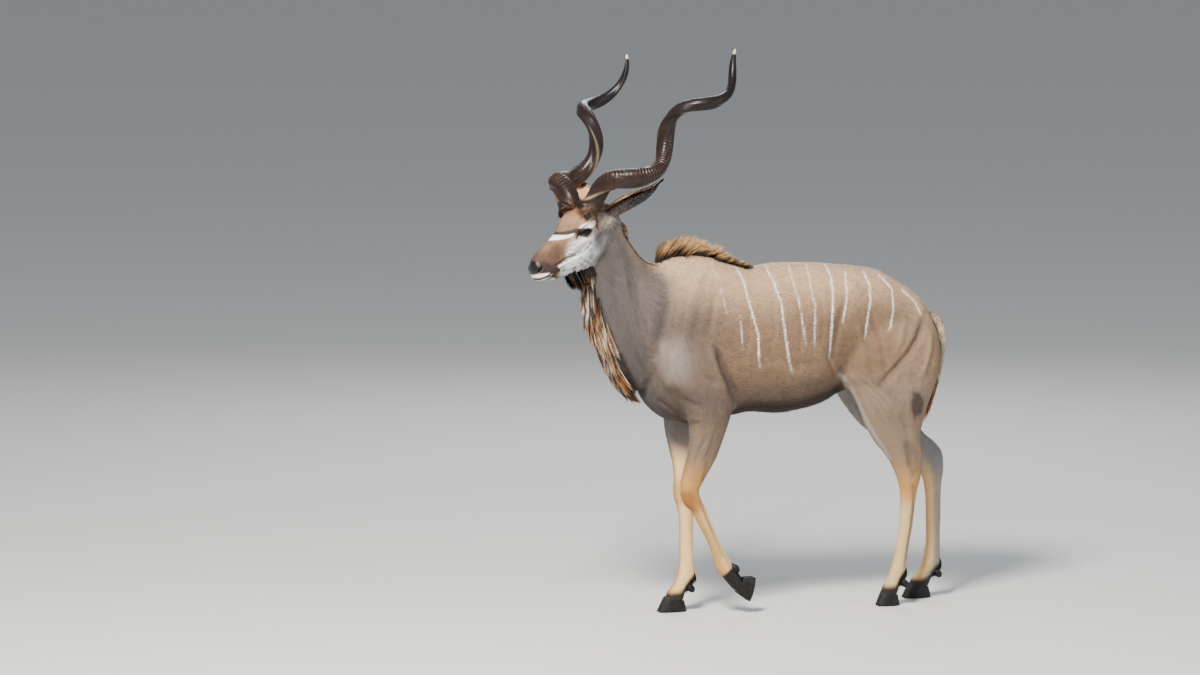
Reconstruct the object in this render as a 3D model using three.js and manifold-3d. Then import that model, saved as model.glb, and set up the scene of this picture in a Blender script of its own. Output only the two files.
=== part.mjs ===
// A greater kudu bull at life size, walking, as a still museum model.
// Millimetres, +Z up. It walks towards -X, its left side faces -Y, and its soles stand on Z = 0.
import * as THREE from 'three';
import { mergeVertices } from 'three/addons/utils/BufferGeometryUtils.js';
import Module from 'manifold-3d';

const wasm = await Module();
wasm.setup();

// Driving dimensions
const GAP = 0.3;                 // clearance kept between neighbouring pieces
const SHOULDER_HEIGHT = 1430;    // skin at the withers above the floor
const CREST_HEIGHT = 95;         // longest hair of the withers crest
const NAPE_HAIR = 30;            // short mane along the nape
const FRINGE_LENGTH = 96;       // hair of the throat fringe
const BEARD_LENGTH = 92;         // hair under the lower jaw
const TUFT_LENGTH = 105;         // hair at the end of the tail
const HEAD_YAW = 20.7;            // degrees the head is turned to the animal's left
const HEAD_ROLL = 4.2;           // degrees its left side is raised
const HEAD_PITCH = 36;           // degrees the face slopes below the horizontal
const HEAD_CENTRE = [-829, -50, 1615];   // between the two horn bases
const EYE_RADIUS = 21;
const EYE_DETAIL = [11, 8];
const EAR_LENGTH = 313;
const EAR_WIDTH = 115;
const EAR_SKIN = 5;
// The two ears are turned apart. Each has its lie and the way it opens as shares of forward, up and left,
// its root in the head's frame, and how far its tip bends back.
const EARS = {
  left: { along: [-0.716, 0.639, 0.388], open: [0.549, 0.787, -0.283], root: [-50, -86, 44], droop: 33 },
  right: { along: [-0.433, 0.604, -0.669], open: [0.277, 0.796, 0.538], root: [-59, -68, -44.6], droop: 53 },
};
// The two horns differ a little. Each has its length along the axis, its turns, the radius of the spiral,
// the share of it lost by the tip, the share of the length over which it opens, its outward bow, its lean
// back and out in degrees, and the degrees round the spiral at its base.
const HORNS = {
  left: {
    straight: 853, turns: 2.09, spiral: 62, narrowing: 0.265, opening: 0.172, bow: 59, back: 43.2, out: 23.1,
    phase: 94,
  },
  right: {
    straight: 843, turns: 1.99, spiral: 64.5, narrowing: 0.32, opening: 0.15, bow: 55, back: 44, out: 21.6,
    phase: 68,
  },
};
const HORN_THICK = 40;           // radius of the horn itself at its base
const HORN_BASE_HALF = 62;       // from the middle of the head to the middle of a horn base
const CLAW_WIDTH = 33;
const RAISED_LENGTH = 98;        // sole of the raised fore hoof
const RAISED_TIP = 77;           // degrees it is tipped, toe down
const RAISED_HEIGHT = 49;        // its toe above the floor
const HOOF_HEIGHT = 62;

// Trunk rows: [x top, z top, x bottom, z bottom, y, half width, fullness]
const TRUNK = [
  [-575, 1150, -585, 960, 0, 62, 0],
  [-550, 1300, -560, 872, 0, 120, -0.05],
  [-500, 1392, -500, 800, 0, 158, -0.1],
  [-440, 1424, -440, 770, 0, 176, -0.14],
  [-375, SHOULDER_HEIGHT, -380, 762, 0, 184, -0.18],
  [-300, 1421, -300, 768, 0, 190, -0.18],
  [-210, 1392, -210, 782, 0, 200, -0.14],
  [-120, 1369, -120, 794, 0, 212, -0.1],
  [0, 1382, 0, 786, 0, 221, -0.06],
  [100, 1380, 95, 797, 0, 222, -0.02],
  [180, 1376, 170, 816, 0, 214, 0.02],
  [260, 1367, 245, 852, 0, 196, 0.08],
  [340, 1358, 330, 884, 0, 182, 0.14],
  [420, 1342, 415, 902, 0, 176, 0.16],
  [495, 1301, 490, 915, 0, 162, 0.12],
  [565, 1256, 555, 930, 0, 138, 0.08],
  [620, 1205, 605, 955, 0, 108, 0.02],
  [652, 1140, 640, 1000, 0, 62, 0],
];

// Neck rows: [x nape, z nape, x throat, z throat, y, half width, fullness]
const NECK = [
  [-706, 1590, -836, 1456, -28, 50, 0],
  [-668, 1562, -806, 1400, -16, 72, 0.05],
  [-634, 1518, -800, 1336, -8, 84, 0.08],
  [-604, 1470, -798, 1266, -2, 92, 0.1],
  [-566, 1424, -788, 1196, 0, 101, 0.08],
  [-528, 1398, -760, 1110, 0, 114, 0.04],
  [-488, 1392, -722, 1022, 0, 132, 0],
  [-440, 1396, -664, 942, 0, 148, -0.04],
  [-380, 1392, -594, 880, 0, 154, -0.06],
];

// Head rows, in the head's own frame: [s top, v top, s bottom, v bottom, half width, fullness]
const HEAD = [
  [-128, -66, -112, -172, 40, 0],
  [-98, -30, -88, -206, 60, 0.05],
  [-50, 0, -50, -214, 68, 0.15],
  [0, 14, 0, -214, 70, 0.3],
  [48, 22, 44, -213, 72, 0.36],
  [86, 17, 86, -208, 66, 0.3],
  [130, 8, 136, -190, 53, 0.1],
  [178, 8, 190, -162, 44, 0],
  [224, 10, 236, -140, 40, 0],
  [262, 9, 270, -122, 38, 0],
  [292, 4, 297, -110, 38.5, 0],
  [311, -7, 314, -102, 35, 0],
  [326, -24, 328, -91, 26, 0],
  [334, -42, 334, -79, 11, 0],
];

// Leg rows: [z, x front, x rear, y, half width], y and width given for the left side
const SHOULDER = [
  [1300, -430, -330, 56, 40],
  [1210, -470, -290, 86, 60],
  [1110, -514, -252, 110, 74],
  [1020, -532, -216, 124, 80],
  [940, -515, -198, 128, 79],
  [885, -468, -203, 130, 74],
];
const FORE_LEFT = [
  [840, -425, -212, 130, 67],
  [795, -408, -228, 126, 61],
  [745, -399, -242, 119, 54],
  [700, -397, -256, 113, 48],
  [640, -405, -276, 106, 42],
  [585, -417, -304, 102, 37],
  [530, -427, -336, 99, 33],
  [498, -427, -350, 97, 33.5],
  [470, -421, -341, 96, 34],
  [442, -407, -328, 95, 31],
  [419, -383, -316, 94, 27],
  [382, -361, -299, 93, 24],
  [340, -337, -281, 92, 23],
  [298, -315, -262, 91, 23],
  [261, -300, -242, 90, 24],
  [219, -286, -218, 89, 28],
  [190, -278, -202, 88, 31],
  [168, -267, -190, 88, 31],
  [148, -247, -174, 88, 30],
  [125, -228, -158, 88, 31],
  [102, -207, -148, 88, 31],
  [84, -186, -142, 88, 29],
];
const FORE_RIGHT = [
  [840, -424, -214, 130, 67],
  [795, -425, -231, 123, 60],
  [745, -426, -249, 112, 53],
  [690, -420, -278, 101, 47],
  [640, -410, -294, 92, 41],
  [587, -399, -309, 84, 36],
  [530, -395, -324, 77, 32],
  [488, -399, -327, 72, 33],
  [450, -397, -327, 69, 33],
  [412, -385, -323, 65, 29],
  [368, -379, -319, 61, 25],
  [260, -380, -323, 52, 23.5],
  [182, -384, -321, 47, 26],
  [142, -393, -318, 46, 31.5],
  [108, -409, -338, 45, 30],
  [70, -437, -360, 45, 32.5],
  [44, -442, -366, 45, 31],
];
const HAUNCH = [
  [1270, 350, 470, 56, 40],
  [1200, 292, 580, 80, 66],
  [1120, 254, 638, 100, 84],
  [1045, 226, 655, 110, 91],
  [980, 212, 656, 114, 94],
];
const HIND_LEFT = [
  [940, 216, 650, 115, 93],
  [895, 254, 636, 115, 87],
  [850, 285, 620, 114, 79],
  [800, 312, 603, 111, 68],
  [745, 335, 590, 106, 55],
  [700, 358, 580, 102, 47],
  [660, 385, 577, 99, 41],
  [622, 418, 585, 96, 37],
  [580, 450, 590, 92, 36],
  [540, 471, 588, 89, 35],
  [500, 488, 582, 86, 34],
  [460, 498, 572, 83, 31],
  [410, 502, 565, 81, 27.5],
  [330, 500, 556, 79, 25],
  [240, 487, 541, 77, 24.5],
  [178, 473, 531, 76, 28],
  [136, 461, 527, 75, 32.5],
  [100, 447, 508, 75, 30.5],
  [70, 427, 499, 75, 33],
  [44, 424, 491, 75, 31],
];
const HIND_RIGHT = [
  [940, 216, 650, 115, 93],
  [895, 256, 638, 115, 87],
  [850, 290, 626, 114, 79],
  [800, 322, 616, 111, 68],
  [745, 362, 625, 106, 55],
  [700, 402, 642, 102, 47],
  [660, 455, 672, 99, 41],
  [622, 516, 716, 96, 37],
  [580, 580, 744, 92, 36],
  [540, 625, 749, 89, 35],
  [500, 650, 746, 86, 34],
  [460, 663, 738, 83, 31],
  [410, 669, 735, 81, 27.5],
  [330, 671, 734, 79, 25],
  [240, 671, 731, 77, 24.5],
  [178, 663, 731, 76, 28],
  [138, 652, 731, 75, 32.5],
  [102, 632, 710, 75, 30.5],
  [70, 605, 690, 75, 33],
  [44, 600, 680, 75, 31],
];

// Tail rows: [x, z, y, half width, half depth]
const TAIL = [
  [610, 1160, 0, 20, 16],
  [655, 1146, -2, 27, 17],
  [684, 1105, -8, 28, 15],
  [692, 1050, -15, 27, 14],
  [686, 985, -23, 25, 13],
  [670, 920, -30, 22, 12],
  [648, 866, -36, 18, 10],
  [628, 828, -40, 10, 7],
];

// Seeded draw between 0 and 1
let seed = 20260;
function draw() {
  seed = (seed * 1103515245 + 12345) % 2147483648;
  return seed / 2147483648;
}

function vary(low, high) {
  return low + (high - low) * draw();
}

const radians = THREE.MathUtils.degToRad;
const clamp = THREE.MathUtils.clamp;
const vec = (x, y, z) => new THREE.Vector3(x, y, z);

// Smooth curve through rows of numbers, without overshoot, for t from 0 to 1
function smoothRows(rows) {
  const at = [0];
  for (let i = 1; i < rows.length; i += 1) {
    let step = 0;
    for (let k = 0; k < 4; k += 1) step += (rows[i][k] - rows[i - 1][k]) ** 2;
    at.push(at[i - 1] + Math.sqrt(step));
  }
  const total = at[at.length - 1];
  const slope = (i, k) => (rows[i + 1][k] - rows[i][k]) / (at[i + 1] - at[i]);
  const tangent = (i, k) => {
    if (i === 0) return slope(0, k);
    if (i === rows.length - 1) return slope(i - 1, k);
    const before = slope(i - 1, k);
    const after = slope(i, k);
    if (before * after <= 0) return 0;
    return (2 * before * after) / (before + after);
  };
  return (t) => {
    const place = clamp(t, 0, 1) * total;
    let i = 0;
    while (i < rows.length - 2 && place > at[i + 1]) i += 1;
    const span = at[i + 1] - at[i];
    const u = (place - at[i]) / span;
    return rows[i].map((value, k) => {
      const rise = rows[i + 1][k] - value;
      const a = tangent(i, k) * span - rise;
      const b = -tangent(i + 1, k) * span + rise;
      return value + u * rise + u * (1 - u) * (a * (1 - u) + b * u);
    });
  };
}

// A form whose section at t runs between two edge points and is given a half width
class Form {
  constructor(rows, place, power = 2.15) {
    this.row = smoothRows(rows);
    this.place = place;
    this.power = power;
  }

  // Point at t along the form and angle round it, where 0 is the first edge, grown by some millimetres
  at(t, angle, grow = 0) {
    const { first, second, side, half, fullness } = this.place(this.row(t));
    const middle = first.clone().add(second).multiplyScalar(0.5);
    const along = first.clone().sub(middle);
    const reach = along.length();
    const c = Math.cos(angle);
    const s = Math.sin(angle);
    const round = (value) => Math.sign(value) * Math.abs(value) ** (2 / this.power);
    const high = round(c) + fullness * (1 - round(c) ** 2);
    return middle
      .add(along.multiplyScalar((high * (reach + grow)) / reach))
      .add(side.clone().multiplyScalar(round(s) * (half + grow)));
  }

  normal(t, angle) {
    const step = 0.004;
    const here = this.at(t, angle);
    const forward = this.at(Math.min(t + step, 1), angle).sub(this.at(Math.max(t - step, 0), angle));
    const across = this.at(t, angle + step).sub(this.at(t, angle - step));
    const out = forward.cross(across).normalize();
    const middle = this.at(t, 0).add(this.at(t, Math.PI)).multiplyScalar(0.5);
    return out.dot(here.sub(middle)) < 0 ? out.negate() : out;
  }

  mesh(rings, sides, grow = 0) {
    const points = [];
    for (let i = 0; i <= rings; i += 1) {
      for (let j = 0; j < sides; j += 1) {
        points.push(this.at(i / rings, (2 * Math.PI * j) / sides, grow));
      }
    }
    return skinRings(points, sides);
  }
}

// Closed geometry over rings of equal count, with a flat cap at each end or a point at the last one
function skinRings(points, sides, tip) {
  const rings = points.length / sides;
  const triangles = [];
  const all = points.slice();
  for (let i = 0; i < rings - 1; i += 1) {
    for (let j = 0; j < sides; j += 1) {
      const a = i * sides + j;
      const b = i * sides + ((j + 1) % sides);
      triangles.push(a, b, b + sides, a, b + sides, a + sides);
    }
  }
  const capAt = (ring, forward) => {
    const middle = vec(0, 0, 0);
    for (let j = 0; j < sides; j += 1) middle.add(points[ring * sides + j]);
    all.push(forward && tip ? tip : middle.multiplyScalar(1 / sides));
    const centre = all.length - 1;
    for (let j = 0; j < sides; j += 1) {
      const a = ring * sides + j;
      const b = ring * sides + ((j + 1) % sides);
      triangles.push(...(forward ? [centre, a, b] : [centre, b, a]));
    }
  };
  capAt(0, false);
  capAt(rings - 1, true);
  const geometry = new THREE.BufferGeometry();
  geometry.setAttribute('position', new THREE.Float32BufferAttribute(all.flatMap((p) => p.toArray()), 3));
  geometry.setIndex(triangles);
  return geometry;
}

// Solids that can be joined and cut
function solid(geometry) {
  const bare = geometry.clone();
  bare.deleteAttribute('normal');
  bare.deleteAttribute('uv');
  const merged = mergeVertices(bare, 1e-3);
  const make = (indices) => new wasm.Manifold(new wasm.Mesh({
    numProp: 3,
    vertProperties: new Float32Array(merged.attributes.position.array),
    triVerts: new Uint32Array(indices),
  }));
  const indices = Array.from(merged.index.array);
  const first = make(indices);
  if (first.volume() > 0) return first;
  for (let i = 0; i < indices.length; i += 3) [indices[i], indices[i + 1]] = [indices[i + 1], indices[i]];
  return make(indices);
}

function unite(parts) {
  return parts.reduce((whole, part) => whole.add(part));
}

function largest(whole) {
  const pieces = whole.decompose();
  return pieces.reduce((best, piece) => (piece.volume() > best.volume() ? piece : best));
}

function geometryOf(whole) {
  const mesh = whole.getMesh();
  const geometry = new THREE.BufferGeometry();
  geometry.setAttribute('position', new THREE.BufferAttribute(new Float32Array(mesh.vertProperties), 3));
  geometry.setIndex(new THREE.BufferAttribute(new Uint32Array(mesh.triVerts), 1));
  return geometry;
}

// A big block on the side of a plane that the direction points to
function beyond(point, direction, size = 3000) {
  const block = new THREE.BoxGeometry(size, size, size);
  block.translate(0, 0, size / 2);
  const turn = new THREE.Quaternion().setFromUnitVectors(vec(0, 0, 1), direction.clone().normalize());
  block.applyQuaternion(turn);
  block.translate(point.x, point.y, point.z);
  return solid(block);
}

function splitAt(whole, point, direction) {
  const half = direction.clone().normalize().multiplyScalar(GAP / 2);
  const front = whole.intersect(beyond(point.clone().add(half), direction));
  const back = whole.intersect(beyond(point.clone().sub(half), direction.clone().negate()));
  return [front, back];
}

function ellipsoid(centre, radii, turn = new THREE.Matrix4(), detail = [8, 6]) {
  const ball = new THREE.SphereGeometry(1, ...detail);
  ball.scale(...radii);
  ball.applyMatrix4(turn);
  ball.translate(centre.x, centre.y, centre.z);
  return solid(ball);
}

// A flat tapered lock, with its root sunk below the surface it grows from
function lock(root, start, end, length, width, thickness, across) {
  const SINK = 14;
  const stops = [0, 0.42, 0.8];
  const shares = [1, 0.96, 0.6];
  const along = (t) => root.clone()
    .add(start.clone().multiplyScalar(length * (t - (t * t) / 2)))
    .add(end.clone().multiplyScalar((length * t * t) / 2));
  const points = [];
  const ring = (centre, heading, share) => {
    const wide = across.clone().addScaledVector(heading, -across.dot(heading)).normalize();
    const thick = heading.clone().cross(wide).normalize();
    const a = (width / 2) * share;
    const b = (thickness / 2) * share;
    points.push(
      centre.clone().addScaledVector(wide, a),
      centre.clone().addScaledVector(thick, b),
      centre.clone().addScaledVector(wide, -a),
      centre.clone().addScaledVector(thick, -b),
    );
  };
  ring(root.clone().addScaledVector(start, -SINK), start.clone().normalize(), 0.7);
  stops.forEach((t, i) => {
    const heading = start.clone().multiplyScalar(1 - t).addScaledVector(end, t).normalize();
    ring(along(t), heading, shares[i]);
  });
  return solid(skinRings(points, 4, along(1)));
}

// Frames and forms of the body
const trunkPlace = ([xa, za, xb, zb, y, half, fullness]) => ({
  first: vec(xa, y, za), second: vec(xb, y, zb), side: vec(0, -1, 0), half, fullness,
});
const yaw = radians(HEAD_YAW);
const roll = radians(HEAD_ROLL);
const pitch = radians(HEAD_PITCH);
const headForward = vec(-Math.cos(yaw), -Math.sin(yaw), 0);
const levelLeft = vec(Math.sin(yaw), -Math.cos(yaw), 0);
const headLeft = levelLeft.clone().multiplyScalar(Math.cos(roll)).add(vec(0, 0, Math.sin(roll)));
const headUp = vec(0, 0, Math.cos(roll)).addScaledVector(levelLeft, -Math.sin(roll));
const faceAlong = headForward.clone().multiplyScalar(Math.cos(pitch))
  .addScaledVector(headUp, -Math.sin(pitch));
const faceUp = headForward.clone().multiplyScalar(Math.sin(pitch)).addScaledVector(headUp, Math.cos(pitch));
const headMiddle = vec(...HEAD_CENTRE);

// Point of the head: s along the face, v up from it, w to its left
function onHead(s, v, w) {
  return headMiddle.clone().addScaledVector(faceAlong, s).addScaledVector(faceUp, v)
    .addScaledVector(headLeft, w);
}

const headPlace = ([sa, va, sb, vb, half, fullness]) => ({
  first: onHead(sa, va, 0), second: onHead(sb, vb, 0), side: headLeft, half, fullness,
});
const legPlace = (side) => ([z, front, rear, y, half]) => ({
  first: vec(front, side * y, z), second: vec(rear, side * y, z), side: vec(0, side, 0), half,
  fullness: 0.12,
});
const tailPlace = ([x, z, y, half, depth]) => ({
  first: vec(x + depth, y, z + depth * 0.4), second: vec(x - depth, y, z - depth * 0.4),
  side: vec(0, -1, 0), half, fullness: 0,
});

const LEFT = -1;
const RIGHT = 1;
const trunk = new Form(TRUNK, trunkPlace);
const neck = new Form(NECK, trunkPlace, 2.1);
const head = new Form(HEAD, headPlace, 2.2);
const tail = new Form(TAIL, tailPlace, 2);
const foreLeft = new Form([...SHOULDER, ...FORE_LEFT], legPlace(LEFT), 2.1);
const foreRight = new Form([...SHOULDER, ...FORE_RIGHT], legPlace(RIGHT), 2.1);
const hindLeft = new Form([...HAUNCH, ...HIND_LEFT], legPlace(LEFT), 2.1);
const hindRight = new Form([...HAUNCH, ...HIND_RIGHT], legPlace(RIGHT), 2.1);

// Head: brows, cheeks and lips are added, sockets, nostrils and the mouth are cut
function strand(points, radii, grow = 0, sides = 4, segments = 6) {
  const curve = new THREE.CatmullRomCurve3(points);
  const frames = curve.computeFrenetFrames(segments, false);
  const rings = [];
  for (let i = 0; i <= segments; i += 1) {
    const t = i / segments;
    const centre = curve.getPoint(t);
    const radius = grow + radii[0] + (radii[1] - radii[0]) * Math.sin(Math.PI * t);
    for (let j = 0; j < sides; j += 1) {
      const angle = (2 * Math.PI * j) / sides;
      rings.push(centre.clone()
        .addScaledVector(frames.normals[i], radius * Math.cos(angle))
        .addScaledVector(frames.binormals[i], radius * Math.sin(angle)));
    }
  }
  return solid(skinRings(rings, sides));
}

const headTurn = new THREE.Matrix4().makeBasis(faceAlong, faceUp, headLeft);
const EYE = { s: 65, v: -51, w: 56 };
const NOSTRIL = { s: 310, v: -33, w: 31 };

function eyeCentre(side) {
  return onHead(EYE.s, EYE.v, side * EYE.w);
}

function headDetails(side, grow) {
  const swelling = (s, v, w, radii) => ellipsoid(
    onHead(s, v, side * w), radii.map((radius) => radius + grow), headTurn,
  );
  const line = (places, radii) => strand(places.map(([s, v, w]) => onHead(s, v, side * w)), radii, grow);
  return unite([
    swelling(58, -30, 50, [40, 17, 25]),
    swelling(4, -16, 50, [48, 32, 44]),
    swelling(74, -79, 50, [46, 15, 19]),
    swelling(301, -40, 22, [25, 26, 19]),
    swelling(-58, -100, 48, [36, 38, 30]),
    line([[39, -55, 73], [61, -37, 76], [91, -57, 70]], [4, 7]),
    line([[39, -57, 73], [65, -68, 74], [92, -59, 70]], [3, 5]),
    line([[334, -70, 6], [310, -83, 33], [264, -92, 38]], [5, 8]),
    line([[325, -91, 5], [298, -98, 29], [258, -102, 34]], [4, 7]),
  ]);
}

function headBody(grow) {
  return unite([solid(head.mesh(21, 18, grow)), headDetails(1, grow), headDetails(-1, grow)]);
}

function headCuts(side) {
  const mouth = [
    onHead(342, -81, 0), onHead(329, -82, side * 27), onHead(302, -90, side * 41),
    onHead(266, -97, side * 45), onHead(234, -104, side * 44),
  ];
  const nostrilTurn = headTurn.clone().multiply(new THREE.Matrix4().makeRotationZ(radians(-24)));
  return unite([
    strand(mouth, [2, 3.6], 0, 4, 9),
    ellipsoid(onHead(NOSTRIL.s, NOSTRIL.v, side * NOSTRIL.w), [15, 7, 15], nostrilTurn),
    ellipsoid(eyeCentre(side), [EYE_RADIUS + GAP, EYE_RADIUS + GAP, EYE_RADIUS + GAP], headTurn, EYE_DETAIL),
  ]);
}

// Horns: a corkscrew with a keel that follows the spiral
const hornOf = (side) => (side > 0 ? HORNS.left : HORNS.right);

const hornAxes = (side) => {
  const back = radians(hornOf(side).back);
  const out = radians(hornOf(side).out);
  const outward = headLeft.clone().multiplyScalar(side);
  const lean = (f, d, l) => headForward.clone().multiplyScalar(f)
    .addScaledVector(headUp, d).addScaledVector(outward, l);
  const axis = lean(-Math.sin(back) * Math.cos(out), Math.cos(back) * Math.cos(out), Math.sin(out));
  const first = lean(Math.cos(back), Math.sin(back), 0);
  const second = first.clone().cross(axis).multiplyScalar(side);
  return { axis, first, second };
};

function hornCentre(side, t) {
  const { axis, first, second } = hornAxes(side);
  const horn = hornOf(side);
  const angle = radians(horn.phase) - 2 * Math.PI * horn.turns * t;
  const radius = horn.spiral * clamp(t / horn.opening, 0, 1) * (1 - horn.narrowing * t);
  return onHead(0, 6, side * HORN_BASE_HALF)
    .addScaledVector(axis, t * horn.straight)
    .addScaledVector(headLeft, side * horn.bow * 4 * t * (1 - t))
    .addScaledVector(first, radius * Math.cos(angle))
    .addScaledVector(second, radius * Math.sin(angle));
}

function hornGeometry(side, rings = 40, sides = 9) {
  const { first, second } = hornAxes(side);
  const points = [];
  const START = -0.022;
  for (let i = 0; i <= rings; i += 1) {
    const t = START + ((1 - START) * i) / rings;
    const centre = hornCentre(side, t);
    const heading = hornCentre(side, t + 0.004).sub(hornCentre(side, t - 0.004)).normalize();
    const lead = radians(hornOf(side).phase) - 2 * Math.PI * hornOf(side).turns * t - radians(80);
    const keel = first.clone().multiplyScalar(Math.cos(lead)).addScaledVector(second, Math.sin(lead));
    keel.addScaledVector(heading, -keel.dot(heading)).normalize();
    const across = heading.clone().cross(keel);
    const share = clamp(t, 0, 1);
    const waist = 1 - 0.06 * Math.sin(Math.PI * Math.min(share / 0.9, 1));
    const taper = Math.max(0.035, (1 - share) ** 0.46 * waist);
    const ripple = 1 + 0.03 * Math.cos(Math.PI * i) * clamp(1.2 - 2 * t, 0, 1);
    for (let j = 0; j < sides; j += 1) {
      const angle = (2 * Math.PI * j) / sides;
      const ridge = 0.26 * Math.max(0, Math.cos(angle)) ** 5 + 0.1 * Math.max(0, -Math.cos(angle)) ** 4;
      const radius = HORN_THICK * taper * ripple * (0.95 + ridge);
      points.push(centre.clone()
        .addScaledVector(keel, radius * Math.cos(angle))
        .addScaledVector(across, radius * Math.sin(angle)));
    }
  }
  return skinRings(points, sides);
}

// Ears: a leaf curled into a cup round its length, of even thickness
const headWay = ([forward, up, left]) => headForward.clone().multiplyScalar(forward)
  .addScaledVector(headUp, up).addScaledVector(headLeft, left).normalize();
const earOf = (side) => (side > 0 ? EARS.left : EARS.right);
const earAxes = (side) => {
  const along = headWay(earOf(side).along);
  const open = headWay(earOf(side).open);
  open.addScaledVector(along, -open.dot(along)).normalize();
  return { along, open, across: along.clone().cross(open) };
};

function earGeometry(side) {
  const { along, open, across } = earAxes(side);
  const { droop } = earOf(side);
  const root = onHead(...earOf(side).root).addScaledVector(along, -36);
  const steps = 9;
  const turns = 7;
  const layer = (inset) => {
    const points = [];
    for (let i = 0; i <= steps; i += 1) {
      const t = i / steps;
      const half = (EAR_WIDTH / 2) * (0.36 + 0.64 * Math.sin(Math.PI * clamp(t * 1.18 - 0.1, 0, 1)) ** 0.8)
        * (1 - clamp((t - 0.6) / 0.4, 0, 1) ** 2 * 0.86);
      const curl = radians(166 - 105 * clamp((t - 0.05) / 0.8, 0, 1) ** 0.7);
      const radius = Math.max((half - inset * 0.35) / Math.max(curl, 1), 2.5) * 1.45;
      for (let j = 0; j <= turns; j += 1) {
        const angle = curl * ((2 * j) / turns - 1);
        points.push(root.clone()
          .addScaledVector(along, EAR_LENGTH * t - (i === steps ? inset : 0))
          .addScaledVector(across, (radius - inset * 0.5) * Math.sin(angle))
          .addScaledVector(open, -(radius - inset) * Math.cos(angle) + radius * 0.4 - droop * t * t));
      }
    }
    return points;
  };
  return shellGeometry(layer(0), layer(EAR_SKIN), steps, turns);
}

// Closed sheet between two like grids of points
function shellGeometry(outer, inner, steps, turns) {
  const columns = turns + 1;
  const offset = outer.length;
  const triangles = [];
  const quad = (a, b, c, d) => triangles.push(a, b, c, a, c, d);
  for (let i = 0; i < steps; i += 1) {
    for (let j = 0; j < turns; j += 1) {
      const a = i * columns + j;
      quad(a, a + 1, a + columns + 1, a + columns);
      triangles.push(offset + a, offset + a + columns + 1, offset + a + 1);
      triangles.push(offset + a, offset + a + columns, offset + a + columns + 1);
    }
  }
  for (let i = 0; i < steps; i += 1) {
    const low = i * columns;
    const high = low + turns;
    quad(low, low + columns, offset + low + columns, offset + low);
    quad(high, offset + high, offset + high + columns, high + columns);
  }
  for (let j = 0; j < turns; j += 1) {
    const end = steps * columns + j;
    quad(j, offset + j, offset + j + 1, j + 1);
    quad(end, end + 1, offset + end + 1, offset + end);
  }
  const geometry = new THREE.BufferGeometry();
  const all = [...outer, ...inner];
  geometry.setAttribute('position', new THREE.Float32BufferAttribute(all.flatMap((p) => p.toArray()), 3));
  geometry.setIndex(triangles);
  return geometry;
}

// Hooves: two claws a foot, each a wedge with a flat inner face and a level sole
const CLAW_ROWS = [
  [0, 1, 0, 1],
  [0.3, 0.94, 0.01, 1.02],
  [0.7, 0.83, 0.05, 0.95],
  [1, 0.74, 0.08, 0.86],
];

const CLAW_INNER = 0.8;          // share of the half width on the flat inner side

function clawGeometry(toe, heel, y, side, outer, grow) {
  const sides = 10;
  const points = [];
  const half = CLAW_WIDTH / 2;
  CLAW_ROWS.forEach(([height, front, back, wide]) => {
    for (let j = 0; j < sides; j += 1) {
      const angle = (2 * Math.PI * j) / sides;
      const reach = Math.cos(angle);
      const share = (reach + 1) / 2;
      const x = heel + (toe - heel) * (back + (front - back) * share) - grow * reach;
      const lean = height * (HOOF_HEIGHT + grow) * (0.72 + 0.28 * share);
      const narrow = 1 - 0.5 * clamp(reach, 0, 1) ** 3;
      const bulge = Math.sin(angle) * outer * side > 0 ? 1 : CLAW_INNER;
      points.push(vec(x, y + Math.sin(angle) * (half * wide * narrow * bulge + grow), lean));
    }
  });
  return skinRings(points, sides);
}

const FEET = {
  fore_right: { toe: -472, heel: -358, y: 45, side: RIGHT },
  hind_left: { toe: 405, heel: 497, y: -75, side: LEFT },
  hind_right: { toe: 572, heel: 686, y: 75, side: RIGHT },
  fore_left: {
    toe: -137, heel: -137 + RAISED_LENGTH, y: -88, side: LEFT, tip: RAISED_TIP, lift: RAISED_HEIGHT,
  },
};

function claws(foot, grow = 0) {
  return [1, -1].map((outer) => {
    const offset = (CLAW_WIDTH / 2) * CLAW_INNER * 1.02 + GAP;
    const y = foot.y + foot.side * outer * offset;
    const claw = clawGeometry(foot.toe, foot.heel, y, foot.side, outer, grow);
    if (foot.tip) {
      claw.translate(-foot.toe, 0, 0);
      claw.rotateY(radians(-foot.tip));
      claw.translate(foot.toe, 0, foot.lift);
    }
    return solid(claw);
  });
}

// Dewclaws: two small blunt cones behind each fetlock
const DEWCLAWS = {
  fore_left: { x: -193, y: -88, z: 184, side: LEFT },
  fore_right: { x: -334, y: 46, z: 92, side: RIGHT },
  hind_left: { x: 526, y: -75, z: 86, side: LEFT },
  hind_right: { x: 722, y: 75, z: 96, side: RIGHT },
};

function dewclaw(place, outer) {
  const cone = new THREE.SphereGeometry(1, 6, 4);
  cone.scale(20, 12, 14);
  cone.rotateY(radians(48));
  cone.translate(place.x - 5, place.y + outer * 15, place.z);
  return solid(cone);
}

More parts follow.
